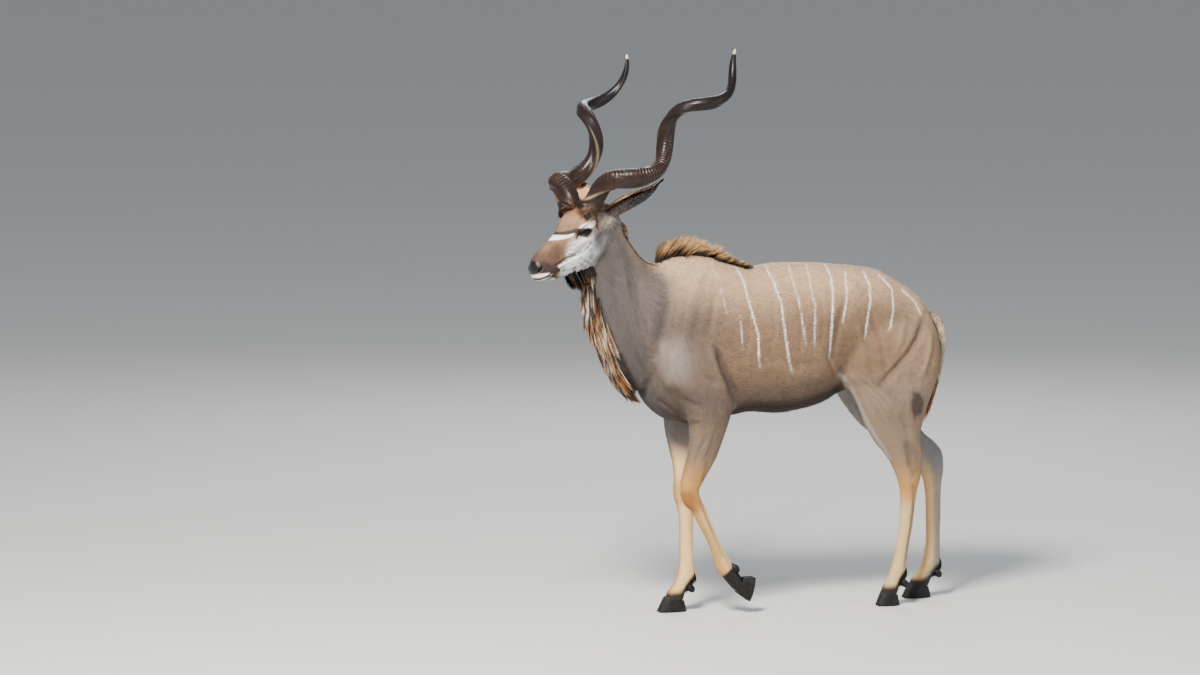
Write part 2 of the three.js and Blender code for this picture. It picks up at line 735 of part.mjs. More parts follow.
// Locks of long hair
function crestLocks() {
  const locks = [];
  const COUNT = 28;
  for (let i = 0; i < COUNT; i += 1) {
    const share = i / (COUNT - 1);
    const t = trunkShareAt(THREE.MathUtils.lerp(-488, -128, share));
    const lean = (i % 3 - 1) * 0.11 + vary(-0.03, 0.03);
    const root = trunk.at(t, lean);
    const swell = Math.min(1, 0.82 + 1.8 * share) * (1 - 0.8 * Math.max(share - 0.1, 0));
    const length = CREST_HEIGHT * swell * vary(0.9, 1.08);
    const rise = radians(12 + 56 * share ** 0.8 + vary(-5, 5));
    const lie = radians(42 + 60 * share ** 0.6 + vary(-6, 6));
    const start = vec(Math.sin(rise), -lean * 2.2, Math.cos(rise)).normalize();
    const end = vec(Math.sin(lie), -lean * 2.4, Math.cos(lie)).normalize();
    locks.push(lock(root, start, end, length, vary(30, 38), vary(9, 11), vec(1, lean * 3, 0.2)));
  }
  return locks;
}

function trunkShareAt(x) {
  let low = 0;
  let high = 1;
  for (let i = 0; i < 24; i += 1) {
    const middle = (low + high) / 2;
    if (trunk.at(middle, 0).x < x) low = middle;
    else high = middle;
  }
  return low;
}

// The turned head carries the fringe round towards the near side high on the neck
function fringeTurn(t) {
  return radians(32) * Math.sin(Math.PI * clamp((t - 0.02) / 0.9, 0, 1)) ** 0.8;
}

function fringeLocks() {
  const locks = [];
  const COUNT = 24;
  for (let i = 0; i < COUNT; i += 1) {
    const share = i / (COUNT - 1);
    const t = THREE.MathUtils.lerp(0.16, 0.93, share);
    const lean = (i % 3 - 1) * 0.16 + vary(-0.05, 0.05);
    const angle = Math.PI + lean - fringeTurn(t);
    const root = neck.at(t, angle);
    const out = neck.normal(t, angle);
    const down = neck.at(Math.min(t + 0.05, 1), angle).sub(neck.at(t - 0.02, angle)).normalize();
    const start = out.clone().multiplyScalar(0.4).addScaledVector(down, 0.92).normalize();
    const end = out.clone().multiplyScalar(0.02).addScaledVector(down, 1).normalize();
    const slant = (i % 2 ? 1 : -1) * vary(0.35, 0.8);
    const across = out.clone().multiplyScalar(Math.cos(slant)).add(vec(0, Math.sin(slant), 0));
    const length = FRINGE_LENGTH * vary(0.75, 1.08) * (0.72 + 0.4 * Math.sin(Math.PI * share));
    locks.push(lock(root, start, end, length, vary(30, 40), vary(9, 12), across));
  }
  return locks;
}

function napeLocks() {
  const locks = [];
  const COUNT = 9;
  for (let i = 0; i < COUNT; i += 1) {
    const share = i / (COUNT - 1);
    const t = THREE.MathUtils.lerp(0.14, 0.74, share);
    const lean = (i % 3 - 1) * 0.12;
    const root = neck.at(t, lean);
    const out = neck.normal(t, lean);
    const down = neck.at(t + 0.04, lean).sub(neck.at(t - 0.02, lean)).normalize();
    const start = out.clone().multiplyScalar(0.6).addScaledVector(down, 0.8).normalize();
    const end = out.clone().multiplyScalar(0.2).addScaledVector(down, 1).normalize();
    const across = out.clone().addScaledVector(vec(0, 1, 0), i % 2 ? 0.7 : -0.7);
    locks.push(lock(root, start, end, NAPE_HAIR * vary(0.8, 1.15), vary(24, 30), 8, across));
  }
  return locks;
}

function beardLocks() {
  const locks = [];
  const COUNT = 10;
  for (let i = 0; i < COUNT; i += 1) {
    const share = i / (COUNT - 1);
    const s = THREE.MathUtils.lerp(206, 100, share);
    const w = (i % 3 - 1) * 15;
    const root = onHead(s, THREE.MathUtils.lerp(-146, -188, share), w);
    const start = headUp.clone().multiplyScalar(-1).addScaledVector(headForward, -0.45)
      .addScaledVector(headLeft, w * 0.012).normalize();
    const end = headUp.clone().multiplyScalar(-0.75).addScaledVector(headForward, -0.9).normalize();
    const length = BEARD_LENGTH * vary(0.8, 1.1) * (0.5 + 0.62 * Math.sin(Math.PI * (0.12 + 0.8 * share)));
    const across = headLeft.clone().addScaledVector(faceAlong, i % 2 ? 0.9 : -0.9);
    locks.push(lock(root, start, end, length, vary(25, 31), 8, across));
  }
  return locks;
}

function tailLocks() {
  const locks = [];
  const COUNT = 9;
  for (let i = 0; i < COUNT; i += 1) {
    const around = (2 * Math.PI * i * 5) / COUNT;
    const t = THREE.MathUtils.lerp(0.72, 0.97, i / (COUNT - 1));
    const root = tail.at(t, around);
    const out = tail.normal(t, around);
    const down = vec(-0.32, -0.06, -1).normalize();
    const start = out.clone().multiplyScalar(0.35).add(down).normalize();
    const length = TUFT_LENGTH * vary(0.7, 1.05);
    locks.push(lock(root, start, down, length, vary(20, 26), 8, vec(i % 2 ? 0.9 : -0.9, 1, 0)));
  }
  return locks;
}

// Whole body, parted with thin cuts
const trunkCore = solid(trunk.mesh(25, 22));
const trunkGrown = solid(trunk.mesh(25, 22, GAP));
const neckCore = solid(neck.mesh(16, 20));
const headCore = headBody(0);
const headGrown = headBody(GAP);
const NECK_CUT = { point: vec(-508, 0, 1210), direction: vec(-1, 0, 0.26) };
const HEAD_CUT = { point: vec(-720, 0, 1440), direction: vec(-0.75, -0.12, 0.65) };
const FORE_CUT = 862;
const HIND_CUT = 930;

const LEG_MESH = [29, 10];

function partLeg(form, foot, cut) {
  const [upper, lower] = splitAt(solid(form.mesh(...LEG_MESH)), vec(0, 0, cut), vec(0, 0, 1));
  const shod = claws(foot, GAP).reduce((rest, claw) => rest.subtract(claw), lower.subtract(trunkGrown));
  return { upper, lower: largest(shod), grown: solid(form.mesh(...LEG_MESH, GAP)) };
}

const legs = {
  fore_left: partLeg(foreLeft, FEET.fore_left, FORE_CUT),
  fore_right: partLeg(foreRight, FEET.fore_right, FORE_CUT),
  hind_left: partLeg(hindLeft, FEET.hind_left, HIND_CUT),
  hind_right: partLeg(hindRight, FEET.hind_right, HIND_CUT),
};

const trunkWhole = unite([trunkCore, neckCore, ...Object.values(legs).map((leg) => leg.upper)]);
const haired = unite([trunkWhole, ...crestLocks(), ...fringeLocks(), ...napeLocks()]);
const [neckAndHead, torso] = splitAt(haired, NECK_CUT.point, NECK_CUT.direction);
const [, neckPiece] = splitAt(neckAndHead, HEAD_CUT.point, HEAD_CUT.direction);
const headHaired = unite([headCore, neckCore, ...beardLocks()]);
const [headPart] = splitAt(headHaired, HEAD_CUT.point, HEAD_CUT.direction);
const headWhole = headPart.subtract(headCuts(1)).subtract(headCuts(-1));

// Materials
const coat = (color) => new THREE.MeshStandardMaterial({ color, roughness: 0.9, metalness: 0 });
const MATERIALS = {
  flank: () => coat(0xa5876e),
  neck: () => coat(0x8f8782),
  head: () => coat(0xa08674),
  leg: () => coat(0xc3a078),
  ear: () => coat(0x9a8c7e),
  horn: () => new THREE.MeshStandardMaterial({ color: 0x3a2c25, roughness: 0.45, metalness: 0 }),
  hoof: () => new THREE.MeshStandardMaterial({ color: 0x2f2c2b, roughness: 0.7, metalness: 0 }),
  eye: () => new THREE.MeshStandardMaterial({ color: 0x120c09, roughness: 0.08, metalness: 0 }),
};

const kudu = new THREE.Group();

function add(name, whole, material) {
  const mesh = new THREE.Mesh(geometryOf(largest(whole)), MATERIALS[material]());
  mesh.name = name;
  kudu.add(mesh);
}

add('torso', torso, 'flank');
add('neck', neckPiece, 'neck');
add('head', headWhole, 'head');
const tailWhole = unite([solid(tail.mesh(11, 8)), ...tailLocks()]);
const tailClear = [trunkGrown, legs.hind_left.grown, legs.hind_right.grown];
add('tail', tailClear.reduce((rest, piece) => rest.subtract(piece), tailWhole), 'flank');
Object.entries(legs).forEach(([name, leg]) => add(`leg_${name}`, leg.lower, 'leg'));

[['left', 1], ['right', -1]].forEach(([name, side]) => {
  add(`horn_${name}`, solid(hornGeometry(side)).subtract(headGrown), 'horn');
  add(`ear_${name}`, solid(earGeometry(side)).subtract(headGrown), 'ear');
  const eyeSize = [EYE_RADIUS, EYE_RADIUS, EYE_RADIUS];
  add(`eye_${name}`, ellipsoid(eyeCentre(side), eyeSize, headTurn, EYE_DETAIL), 'eye');
});

Object.entries(FEET).forEach(([name, foot]) => {
  claws(foot).forEach((claw, i) => add(`hoof_${name}_${i ? 'inner' : 'outer'}`, claw, 'hoof'));
});
Object.entries(DEWCLAWS).forEach(([name, place]) => {
  [1, -1].forEach((outer, i) => {
    const claw = dewclaw(place, outer * place.side).subtract(legs[name].grown);
    add(`dewclaw_${name}_${i ? 'inner' : 'outer'}`, claw, 'hoof');
  });
});

// The origin is the middle of the bounding box, at the floor
const reach = new THREE.Box3().setFromObject(kudu);
const shift = reach.getCenter(vec(0, 0, 0)).setZ(reach.min.z).negate();
kudu.children.forEach((mesh) => mesh.geometry.translate(shift.x, shift.y, shift.z));

export default kudu;
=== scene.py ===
import math
import bmesh
import bpy
import numpy as np
from mathutils import Matrix, Vector
from mathutils.kdtree import KDTree

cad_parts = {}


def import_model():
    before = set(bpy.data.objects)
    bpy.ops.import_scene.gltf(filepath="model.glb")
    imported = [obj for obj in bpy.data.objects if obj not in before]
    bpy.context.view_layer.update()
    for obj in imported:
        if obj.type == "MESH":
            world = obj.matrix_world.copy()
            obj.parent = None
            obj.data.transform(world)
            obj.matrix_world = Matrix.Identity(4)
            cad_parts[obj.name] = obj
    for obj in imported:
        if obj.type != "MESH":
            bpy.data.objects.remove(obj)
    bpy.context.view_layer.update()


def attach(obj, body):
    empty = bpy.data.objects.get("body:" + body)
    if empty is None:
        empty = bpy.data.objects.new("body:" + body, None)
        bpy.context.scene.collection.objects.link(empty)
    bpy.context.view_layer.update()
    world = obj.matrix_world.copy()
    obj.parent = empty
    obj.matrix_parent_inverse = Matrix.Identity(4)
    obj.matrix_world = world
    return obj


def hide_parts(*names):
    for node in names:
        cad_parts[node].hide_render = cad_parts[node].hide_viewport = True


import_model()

RNG = np.random.default_rng(20260)
MM = 0.001

# ---------------------------------------------------------------- sizes, as in the CAD source, in mm
HEAD_YAW = 20.7
HEAD_ROLL = 4.2
HEAD_PITCH = 36.0
HEAD_CENTRE = np.array([-829.0, -50.0, 1615.0])
# The two horns differ a little: straight length, turns, radius of the spiral, share of it lost by the tip, share of
# the length over which it opens, outward bow, lean back and out in degrees, degrees round the spiral at the base
HORNS = {1: (853.0, 2.09, 62.0, 0.265, 0.172, 59.0, 43.2, 23.1, 94.0),
         -1: (843.0, 1.99, 64.5, 0.32, 0.15, 55.0, 44.0, 21.6, 68.0)}
# The two ears are turned apart: lie and opening as shares of forward, up and left, root in the head's frame, bend
EARS = {1: ((-0.716, 0.639, 0.388), (0.549, 0.787, -0.283), (-50, -86, 44), 33.0),
        -1: ((-0.433, 0.604, -0.669), (0.277, 0.796, 0.538), (-59, -68, -44.6), 53.0)}
HORN_THICK = 40.0
HORN_BASE_HALF = 62.0
EYE_RADIUS = 21.0
EAR_LENGTH = 313.0
EAR_WIDTH = 115.0
EAR_SKIN = 5.0
LEFT, RIGHT = -1.0, 1.0

# Trunk and neck rows: [x top, z top, x bottom, z bottom, y, half width, fullness]
TRUNK = [
    [-575, 1150, -585, 960, 0, 62, 0], [-550, 1300, -560, 872, 0, 120, -0.05],
    [-500, 1392, -500, 800, 0, 158, -0.1], [-440, 1424, -440, 770, 0, 176, -0.14],
    [-375, 1430, -380, 762, 0, 184, -0.18], [-300, 1421, -300, 768, 0, 190, -0.18],
    [-210, 1392, -210, 782, 0, 200, -0.14], [-120, 1369, -120, 794, 0, 212, -0.1],
    [0, 1382, 0, 786, 0, 221, -0.06], [100, 1380, 95, 797, 0, 222, -0.02],
    [180, 1376, 170, 816, 0, 214, 0.02], [260, 1367, 245, 852, 0, 196, 0.08],
    [340, 1358, 330, 884, 0, 182, 0.14], [420, 1342, 415, 902, 0, 176, 0.16],
    [495, 1301, 490, 915, 0, 162, 0.12], [565, 1256, 555, 930, 0, 138, 0.08],
    [620, 1205, 605, 955, 0, 108, 0.02], [652, 1140, 640, 1000, 0, 62, 0],
]
NECK = [
    [-706, 1590, -836, 1456, -28, 50, 0], [-668, 1562, -806, 1400, -16, 72, 0.05],
    [-634, 1518, -800, 1336, -8, 84, 0.08], [-604, 1470, -798, 1266, -2, 92, 0.1],
    [-566, 1424, -788, 1196, 0, 101, 0.08], [-528, 1398, -760, 1110, 0, 114, 0.04],
    [-488, 1392, -722, 1022, 0, 132, 0], [-440, 1396, -664, 942, 0, 148, -0.04],
    [-380, 1392, -594, 880, 0, 154, -0.06],
]
# Head rows, in the head's own frame: [s top, v top, s bottom, v bottom, half width, fullness]
HEAD = [
    [-128, -66, -112, -172, 40, 0], [-98, -30, -88, -206, 60, 0.05], [-50, 0, -50, -214, 68, 0.15],
    [0, 14, 0, -214, 70, 0.3], [48, 22, 44, -213, 72, 0.36], [86, 17, 86, -208, 66, 0.3],
    [130, 8, 136, -190, 53, 0.1], [178, 8, 190, -162, 44, 0], [224, 10, 236, -140, 40, 0],
    [262, 9, 270, -122, 38, 0], [292, 4, 297, -110, 38.5, 0], [311, -7, 314, -102, 35, 0],
    [326, -24, 328, -91, 26, 0], [334, -42, 334, -79, 11, 0],
]
# Leg rows: [z, x front, x rear, y, half width]
SHOULDER = [
    [1300, -430, -330, 56, 40], [1210, -470, -290, 86, 60], [1110, -514, -252, 110, 74],
    [1020, -532, -216, 124, 80], [940, -515, -198, 128, 79], [885, -468, -203, 130, 74],
]
FORE_LEFT = [
    [840, -425, -212, 130, 67], [795, -408, -228, 126, 61], [745, -399, -242, 119, 54],
    [700, -397, -256, 113, 48], [640, -405, -276, 106, 42], [585, -417, -304, 102, 37],
    [530, -427, -336, 99, 33], [498, -427, -350, 97, 33.5], [470, -421, -341, 96, 34],
    [442, -407, -328, 95, 31], [419, -383, -316, 94, 27], [382, -361, -299, 93, 24],
    [340, -337, -281, 92, 23], [298, -315, -262, 91, 23], [261, -300, -242, 90, 24],
    [219, -286, -218, 89, 28], [190, -278, -202, 88, 31], [168, -267, -190, 88, 31],
    [148, -247, -174, 88, 30], [125, -228, -158, 88, 31], [102, -207, -148, 88, 31],
    [84, -186, -142, 88, 29],
]
FORE_RIGHT = [
    [840, -424, -214, 130, 67], [795, -425, -231, 123, 60], [745, -426, -249, 112, 53],
    [690, -420, -278, 101, 47], [640, -410, -294, 92, 41], [587, -399, -309, 84, 36],
    [530, -395, -324, 77, 32], [488, -399, -327, 72, 33], [450, -397, -327, 69, 33],
    [412, -385, -323, 65, 29], [368, -379, -319, 61, 25], [260, -380, -323, 52, 23.5],
    [182, -384, -321, 47, 26], [142, -393, -318, 46, 31.5], [108, -409, -338, 45, 30],
    [70, -437, -360, 45, 32.5], [44, -442, -366, 45, 31],
]
HAUNCH = [
    [1270, 350, 470, 56, 40], [1200, 292, 580, 80, 66], [1120, 254, 638, 100, 84],
    [1045, 226, 655, 110, 91], [980, 212, 656, 114, 94],
]
HIND_LEFT = [
    [940, 216, 650, 115, 93], [895, 254, 636, 115, 87], [850, 285, 620, 114, 79],
    [800, 312, 603, 111, 68], [745, 335, 590, 106, 55], [700, 358, 580, 102, 47],
    [660, 385, 577, 99, 41], [622, 418, 585, 96, 37], [580, 450, 590, 92, 36], [540, 471, 588, 89, 35],
    [500, 488, 582, 86, 34], [460, 498, 572, 83, 31], [410, 502, 565, 81, 27.5],
    [330, 500, 556, 79, 25], [240, 487, 541, 77, 24.5], [178, 473, 531, 76, 28],
    [136, 461, 527, 75, 32.5], [100, 447, 508, 75, 30.5], [70, 427, 499, 75, 33],
    [44, 424, 491, 75, 31],
]
HIND_RIGHT = [
    [940, 216, 650, 115, 93], [895, 256, 638, 115, 87], [850, 290, 626, 114, 79],
    [800, 322, 616, 111, 68], [745, 362, 625, 106, 55], [700, 402, 642, 102, 47],
    [660, 455, 672, 99, 41], [622, 516, 716, 96, 37], [580, 580, 744, 92, 36], [540, 625, 749, 89, 35],
    [500, 650, 746, 86, 34], [460, 663, 738, 83, 31], [410, 669, 735, 81, 27.5],
    [330, 671, 734, 79, 25], [240, 671, 731, 77, 24.5], [178, 663, 731, 76, 28],
    [138, 652, 731, 75, 32.5], [102, 632, 710, 75, 30.5], [70, 605, 690, 75, 33],
    [44, 600, 680, 75, 31],
]
TAIL = [
    [610, 1160, 0, 20, 16], [655, 1146, -2, 27, 17], [684, 1105, -8, 28, 15], [692, 1050, -15, 27, 14],
    [686, 985, -23, 25, 13], [670, 920, -30, 22, 12], [648, 866, -36, 18, 10], [628, 828, -40, 10, 7],
]

# The CAD's origin sits in the middle of its box: how far the rows above are moved, in mm
SHIFT = np.array([155.932, -109.644, 0.0])


# ---------------------------------------------------------------- forms: the CAD's smooth rows
def smooth_rows(rows):
    """Rows at any t from 0 to 1 along the given ones, by a curve that never overshoots them."""
    rows = np.array(rows, float)
    at = np.concatenate([[0], np.cumsum(np.sqrt((np.diff(rows[:, :4], axis=0) ** 2).sum(1)))])
    span = np.diff(at)
    slope = np.diff(rows, axis=0) / span[:, None]
    tangent = np.empty_like(rows)
    tangent[0], tangent[-1] = slope[0], slope[-1]
    before, after = slope[:-1], slope[1:]
    product = before * after
    total = before + after
    tangent[1:-1] = np.where(product <= 0, 0, 2 * product / np.where(np.abs(total) < 1e-12, 1, total))

    def look(t):
        place = np.clip(t, 0, 1) * at[-1]
        i = np.clip(np.searchsorted(at, place, side="left") - 1, 0, len(rows) - 2)
        u = ((place - at[i]) / span[i])[:, None]
        rise = rows[i + 1] - rows[i]
        a = tangent[i] * span[i][:, None] - rise
        b = -tangent[i + 1] * span[i][:, None] + rise
        return rows[i] + u * rise + u * (1 - u) * (a * (1 - u) + b * u)
    return look


class Form:
    """A body of changing section: at t it lies between two edge points and has a half width, as in the CAD source."""

    def __init__(self, rows, place, power=2.15):
        self.row, self.place, self.power = smooth_rows(rows), place, power

    def at(self, t, angle):
        t, angle = np.broadcast_arrays(np.asarray(t, float), np.asarray(angle, float))
        shape = t.shape
        t, angle = t.ravel(), angle.ravel()
        first, second, side, half, fullness = self.place(self.row(t))
        middle = (first + second) / 2
        c, s = (np.sign(v) * np.abs(v) ** (2 / self.power) for v in (np.cos(angle), np.sin(angle)))
        high = c + fullness * (1 - c ** 2)
        return (middle + (first - middle) * high[:, None] + side * (s * half)[:, None]).reshape(shape + (3,))


# Each of these turns rows into the two edge points, the way to the side, the half width and the fullness
def trunk_place(r):
    first = np.stack([r[:, 0], r[:, 4], r[:, 1]], 1)
    second = np.stack([r[:, 2], r[:, 4], r[:, 3]], 1)
    return first, second, np.array([0.0, -1.0, 0.0]), r[:, 5], r[:, 6]


def leg_place(side):
    def place(r):
        first = np.stack([r[:, 1], side * r[:, 3], r[:, 0]], 1)
        second = np.stack([r[:, 2], side * r[:, 3], r[:, 0]], 1)
        return first, second, np.array([0.0, side, 0.0]), r[:, 4], np.full(len(r), 0.12)
    return place


def tail_place(r):
    rise = np.stack([r[:, 4], 0 * r[:, 4], 0.4 * r[:, 4]], 1)
    middle = np.stack([r[:, 0], r[:, 2], r[:, 1]], 1)
    return middle + rise, middle - rise, np.array([0.0, -1.0, 0.0]), r[:, 3], np.zeros(len(r))


yaw, roll, pitch = (math.radians(v) for v in (HEAD_YAW, HEAD_ROLL, HEAD_PITCH))
head_forward = np.array([-math.cos(yaw), -math.sin(yaw), 0.0])
level_left = np.array([math.sin(yaw), -math.cos(yaw), 0.0])
head_left = level_left * math.cos(roll) + np.array([0, 0, math.sin(roll)])
head_up = np.array([0, 0, math.cos(roll)]) - level_left * math.sin(roll)
face_along = head_forward * math.cos(pitch) - head_up * math.sin(pitch)
face_up = head_forward * math.sin(pitch) + head_up * math.cos(pitch)
HEAD_AXES = np.stack([face_along, face_up, head_left])


def on_head(s, v, w):
    """Point of the head: s along the face, v up from it, w to its left."""
    s, v, w = np.broadcast_arrays(np.asarray(s, float), np.asarray(v, float), np.asarray(w, float))
    return HEAD_CENTRE + s[..., None] * face_along + v[..., None] * face_up + w[..., None] * head_left


def to_head(points):
    return (points - HEAD_CENTRE) @ HEAD_AXES.T


def head_place(r):
    zero = np.zeros(len(r))
    return on_head(r[:, 0], r[:, 1], zero), on_head(r[:, 2], r[:, 3], zero), head_left, r[:, 4], r[:, 5]


trunk = Form(TRUNK, trunk_place)
neck = Form(NECK, trunk_place, 2.1)
head = Form(HEAD, head_place, 2.2)
tail = Form(TAIL, tail_place, 2.0)
fore_left = Form(SHOULDER + FORE_LEFT, leg_place(LEFT), 2.1)
fore_right = Form(SHOULDER + FORE_RIGHT, leg_place(RIGHT), 2.1)
hind_left = Form(HAUNCH + HIND_LEFT, leg_place(LEFT), 2.1)
hind_right = Form(HAUNCH + HIND_RIGHT, leg_place(RIGHT), 2.1)
FORMS = [trunk, neck, head, tail, fore_left, fore_right, hind_left, hind_right]
TRUNK_ID, NECK_ID, HEAD_ID, TAIL_ID, FL_ID, FR_ID, HL_ID, HR_ID = range(8)


# ---------------------------------------------------------------- camera: the photograph's view
VIEW_AZ, VIEW_EL = math.radians(-18), math.radians(7)
PIXELS_PER_METRE = 253.0
PICTURE = (1200, 675)                  # its size in pixels
PICTURE_ZERO = (775, 609.3)            # where the zero point of the rows falls in it
LENS, SENSOR, AIM_NEAR = 200.0, 36, 0.12
view_right = np.array([math.cos(VIEW_AZ), math.sin(VIEW_AZ), 0.0])
view_ahead = np.array([-math.sin(VIEW_AZ) * math.cos(VIEW_EL), math.cos(VIEW_AZ) * math.cos(VIEW_EL),
                       -math.sin(VIEW_EL)])
view_up = np.cross(view_right, view_ahead)


def to_picture(points):
    """Where points of the model, in mm before the shift, fall in the 1200 by 675 picture."""
    across = points @ view_right * MM
    up = points @ view_up * MM
    return np.stack([PICTURE_ZERO[0] + PIXELS_PER_METRE * across, PICTURE_ZERO[1] - PIXELS_PER_METRE * up], -1)


def world(points):
    return (np.asarray(points) + SHIFT) * MM


def add_camera():
    """Sets the camera as the photograph was taken: from 18 degrees ahead of square and 7 above."""
    distance = PICTURE[0] / PIXELS_PER_METRE * LENS / SENSOR
    aim = view_right * ((PICTURE[0] / 2 - PICTURE_ZERO[0]) / PIXELS_PER_METRE) \
        + view_up * ((PICTURE_ZERO[1] - PICTURE[1] / 2) / PIXELS_PER_METRE)
    aim = aim + SHIFT * MM - view_ahead * AIM_NEAR
    data = bpy.data.cameras.new("camera")
    data.lens, data.sensor_width, data.clip_end = LENS, SENSOR, 200
    camera = bpy.data.objects.new("camera", data)
    bpy.context.scene.collection.objects.link(camera)
    turn = Matrix((view_right, view_up, -view_ahead)).transposed()
    camera.matrix_world = Matrix.Translation(aim - view_ahead * distance) @ turn.to_4x4()
    bpy.context.scene.camera = camera


# ---------------------------------------------------------------- mesh helpers
def circle(sides):
    return np.linspace(0, 2 * np.pi, sides, endpoint=False)


def tube_faces(rings, sides):
    """Quads between the neighbouring rings of a closed tube."""
    i, j = np.meshgrid(np.arange(rings - 1), np.arange(sides), indexing="ij")
    a = (i * sides + j).ravel()
    b = (i * sides + (j + 1) % sides).ravel()
    return np.stack([a, b, b + sides, a + sides], 1).tolist()


def tube_ends(rings, sides):
    return [list(range(sides))[::-1], [(rings - 1) * sides + k for k in range(sides)]]


def grid_mesh(form, rings, sides):
    points = form.at(np.linspace(0, 1, rings)[:, None], circle(sides)[None, :]).reshape(-1, 3)
    return points, tube_faces(rings, sides) + tube_ends(rings, sides)


def ball(centre=(0, 0, 0), radii=(1, 1, 1), axes=np.eye(3), rings=24, sides=32):
    u = np.linspace(0, np.pi, rings + 1)[1:-1][:, None]
    a = circle(sides)[None, :]
    rows = np.stack([np.cos(u) + 0 * a, np.sin(u) * np.cos(a), np.sin(u) * np.sin(a)], -1).reshape(-1, 3)
    points = np.concatenate([rows, [[1, 0, 0], [-1, 0, 0]]]) * np.array(radii, float)
    n = rings - 1
    faces = [[p, s, r, q] for p, q, r, s in tube_faces(n, sides)]
    for j in range(sides):
        after = (j + 1) % sides
        faces += [[n * sides, j, after], [n * sides + 1, (n - 1) * sides + after, (n - 1) * sides + j]]
    return points @ axes + centre, faces


def join_parts(parts):
    points, faces, base = [], [], 0
    for p, f in parts:
        points.append(p)
        faces += [[k + base for k in face] for face in f]
        base += len(p)
    return np.concatenate(points), faces


def new_object(name, points, faces):
    mesh = bpy.data.meshes.new(name)
    mesh.from_pydata(np.asarray(points).tolist(), [], faces)
    mesh.validate()
    obj = bpy.data.objects.new(name, mesh)
    bpy.context.scene.collection.objects.link(obj)
    mesh.shade_smooth()
    return obj


def dress(obj, material, slot, *nodes):
    """Gives a piece its material and body, and hides the CAD nodes that it replaces; slot is not used."""
    obj.data.materials.append(material)
    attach(obj, "root")
    if nodes:
        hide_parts(*nodes)


def read(items, name, kind, width):
    out = np.empty(len(items) * width, kind)
    items.foreach_get(name, out)
    return out.reshape(-1, width)


def coordinates(mesh):
    return read(mesh.vertices, "co", np.float32, 3).astype(float)


def normals_of(mesh):
    return read(mesh.vertices, "normal", np.float32, 3).astype(float)


def edges_of(mesh):
    return read(mesh.edges, "vertices", np.int32, 2)


def set_coordinates(mesh, co):
    mesh.vertices.foreach_set("co", np.asarray(co, np.float32).ravel())
    mesh.update()


class Smoother:
    """Moves each point towards the mean of its neighbours."""

    def __init__(self, edges, count):
        self.a = np.concatenate([edges[:, 0], edges[:, 1]])
        self.b = np.concatenate([edges[:, 1], edges[:, 0]])
        self.count = count
        self.degree = np.maximum(np.bincount(self.a, minlength=count), 1)

    def mean(self, values):
        flat = values if values.ndim > 1 else values[:, None]
        out = np.stack([np.bincount(self.a, flat[self.b, k], self.count) for k in range(flat.shape[1])], 1)
        out /= self.degree[:, None]
        return out if values.ndim > 1 else out[:, 0]

    def relax(self, values, turns, weight=1.0, hold=True):
        weight = np.asarray(weight, float)
        if weight.ndim == 1:
            weight = weight[:, None]
        for _ in range(turns):
            values = values + 0.5 * weight * (self.mean(values) - values)
            if hold:
                values = values - 0.52 * weight * (self.mean(values) - values)
        return values

    def soften(self, values, turns, weight=1.0):
        return self.relax(values, turns, weight, hold=False)


def step(low, high, value):
    t = np.clip((value - low) / (high - low), 0, 1)
    return t * t * (3 - 2 * t)


def line_distance(points, line):
    """Distance of each 2-D or 3-D point to a polyline, and the share of the line's length there."""
    line = np.array(line, float)
    best = np.full(len(points), 1e9)
    share = np.zeros(len(points))
    lengths = np.linalg.norm(np.diff(line, axis=0), axis=1)
    total, done = lengths.sum(), 0.0
    for p, q, length in zip(line[:-1], line[1:], lengths):
        d = q - p
        u = np.clip(((points - p) @ d) / max(length ** 2, 1e-9), 0, 1)
        gap = np.linalg.norm(points - (p + u[:, None] * d), axis=1)
        near = gap < best
        best = np.where(near, gap, best)
        share = np.where(near, (done + u * length) / total, share)
        done += length
    return best, share


# ---------------------------------------------------------------- the skin: one closed surface for all the flesh
VOXEL = 0.006                          # size in metres
SEARCH = 60                            # how far round a form its skin points are looked for, in mm
GRIDS = [(170, 96), (110, 84), (150, 84), (90, 40), (230, 52), (230, 52), (230, 52), (230, 52)]
# Swellings of the skull under the skin, in the head's frame: s, v, w, radii
SWELLINGS = [
    (58, -30, 48, (40, 17, 25)), (4, -16, 48, (46, 31, 42)), (76, -79, 48, (48, 15, 19)),
    (-4, -12, 60, (44, 24, 38)), (301, -40, 22, (25, 26, 19)), (-58, -100, 48, (38, 39, 32)),
    (30, -150, 40, (60, 46, 26)),
]


def remeshed(points, faces, voxel):
    """One closed mesh round all the parts, of even small faces."""
    rough = new_object("rough", points * MM, faces)
    modifier = rough.modifiers.new("remesh", "REMESH")
    modifier.mode, modifier.voxel_size, modifier.adaptivity = "VOXEL", voxel, 0
    graph = bpy.context.evaluated_depsgraph_get()
    mesh = bpy.data.meshes.new_from_object(rough.evaluated_get(graph))
    bpy.data.objects.remove(rough)
    return mesh


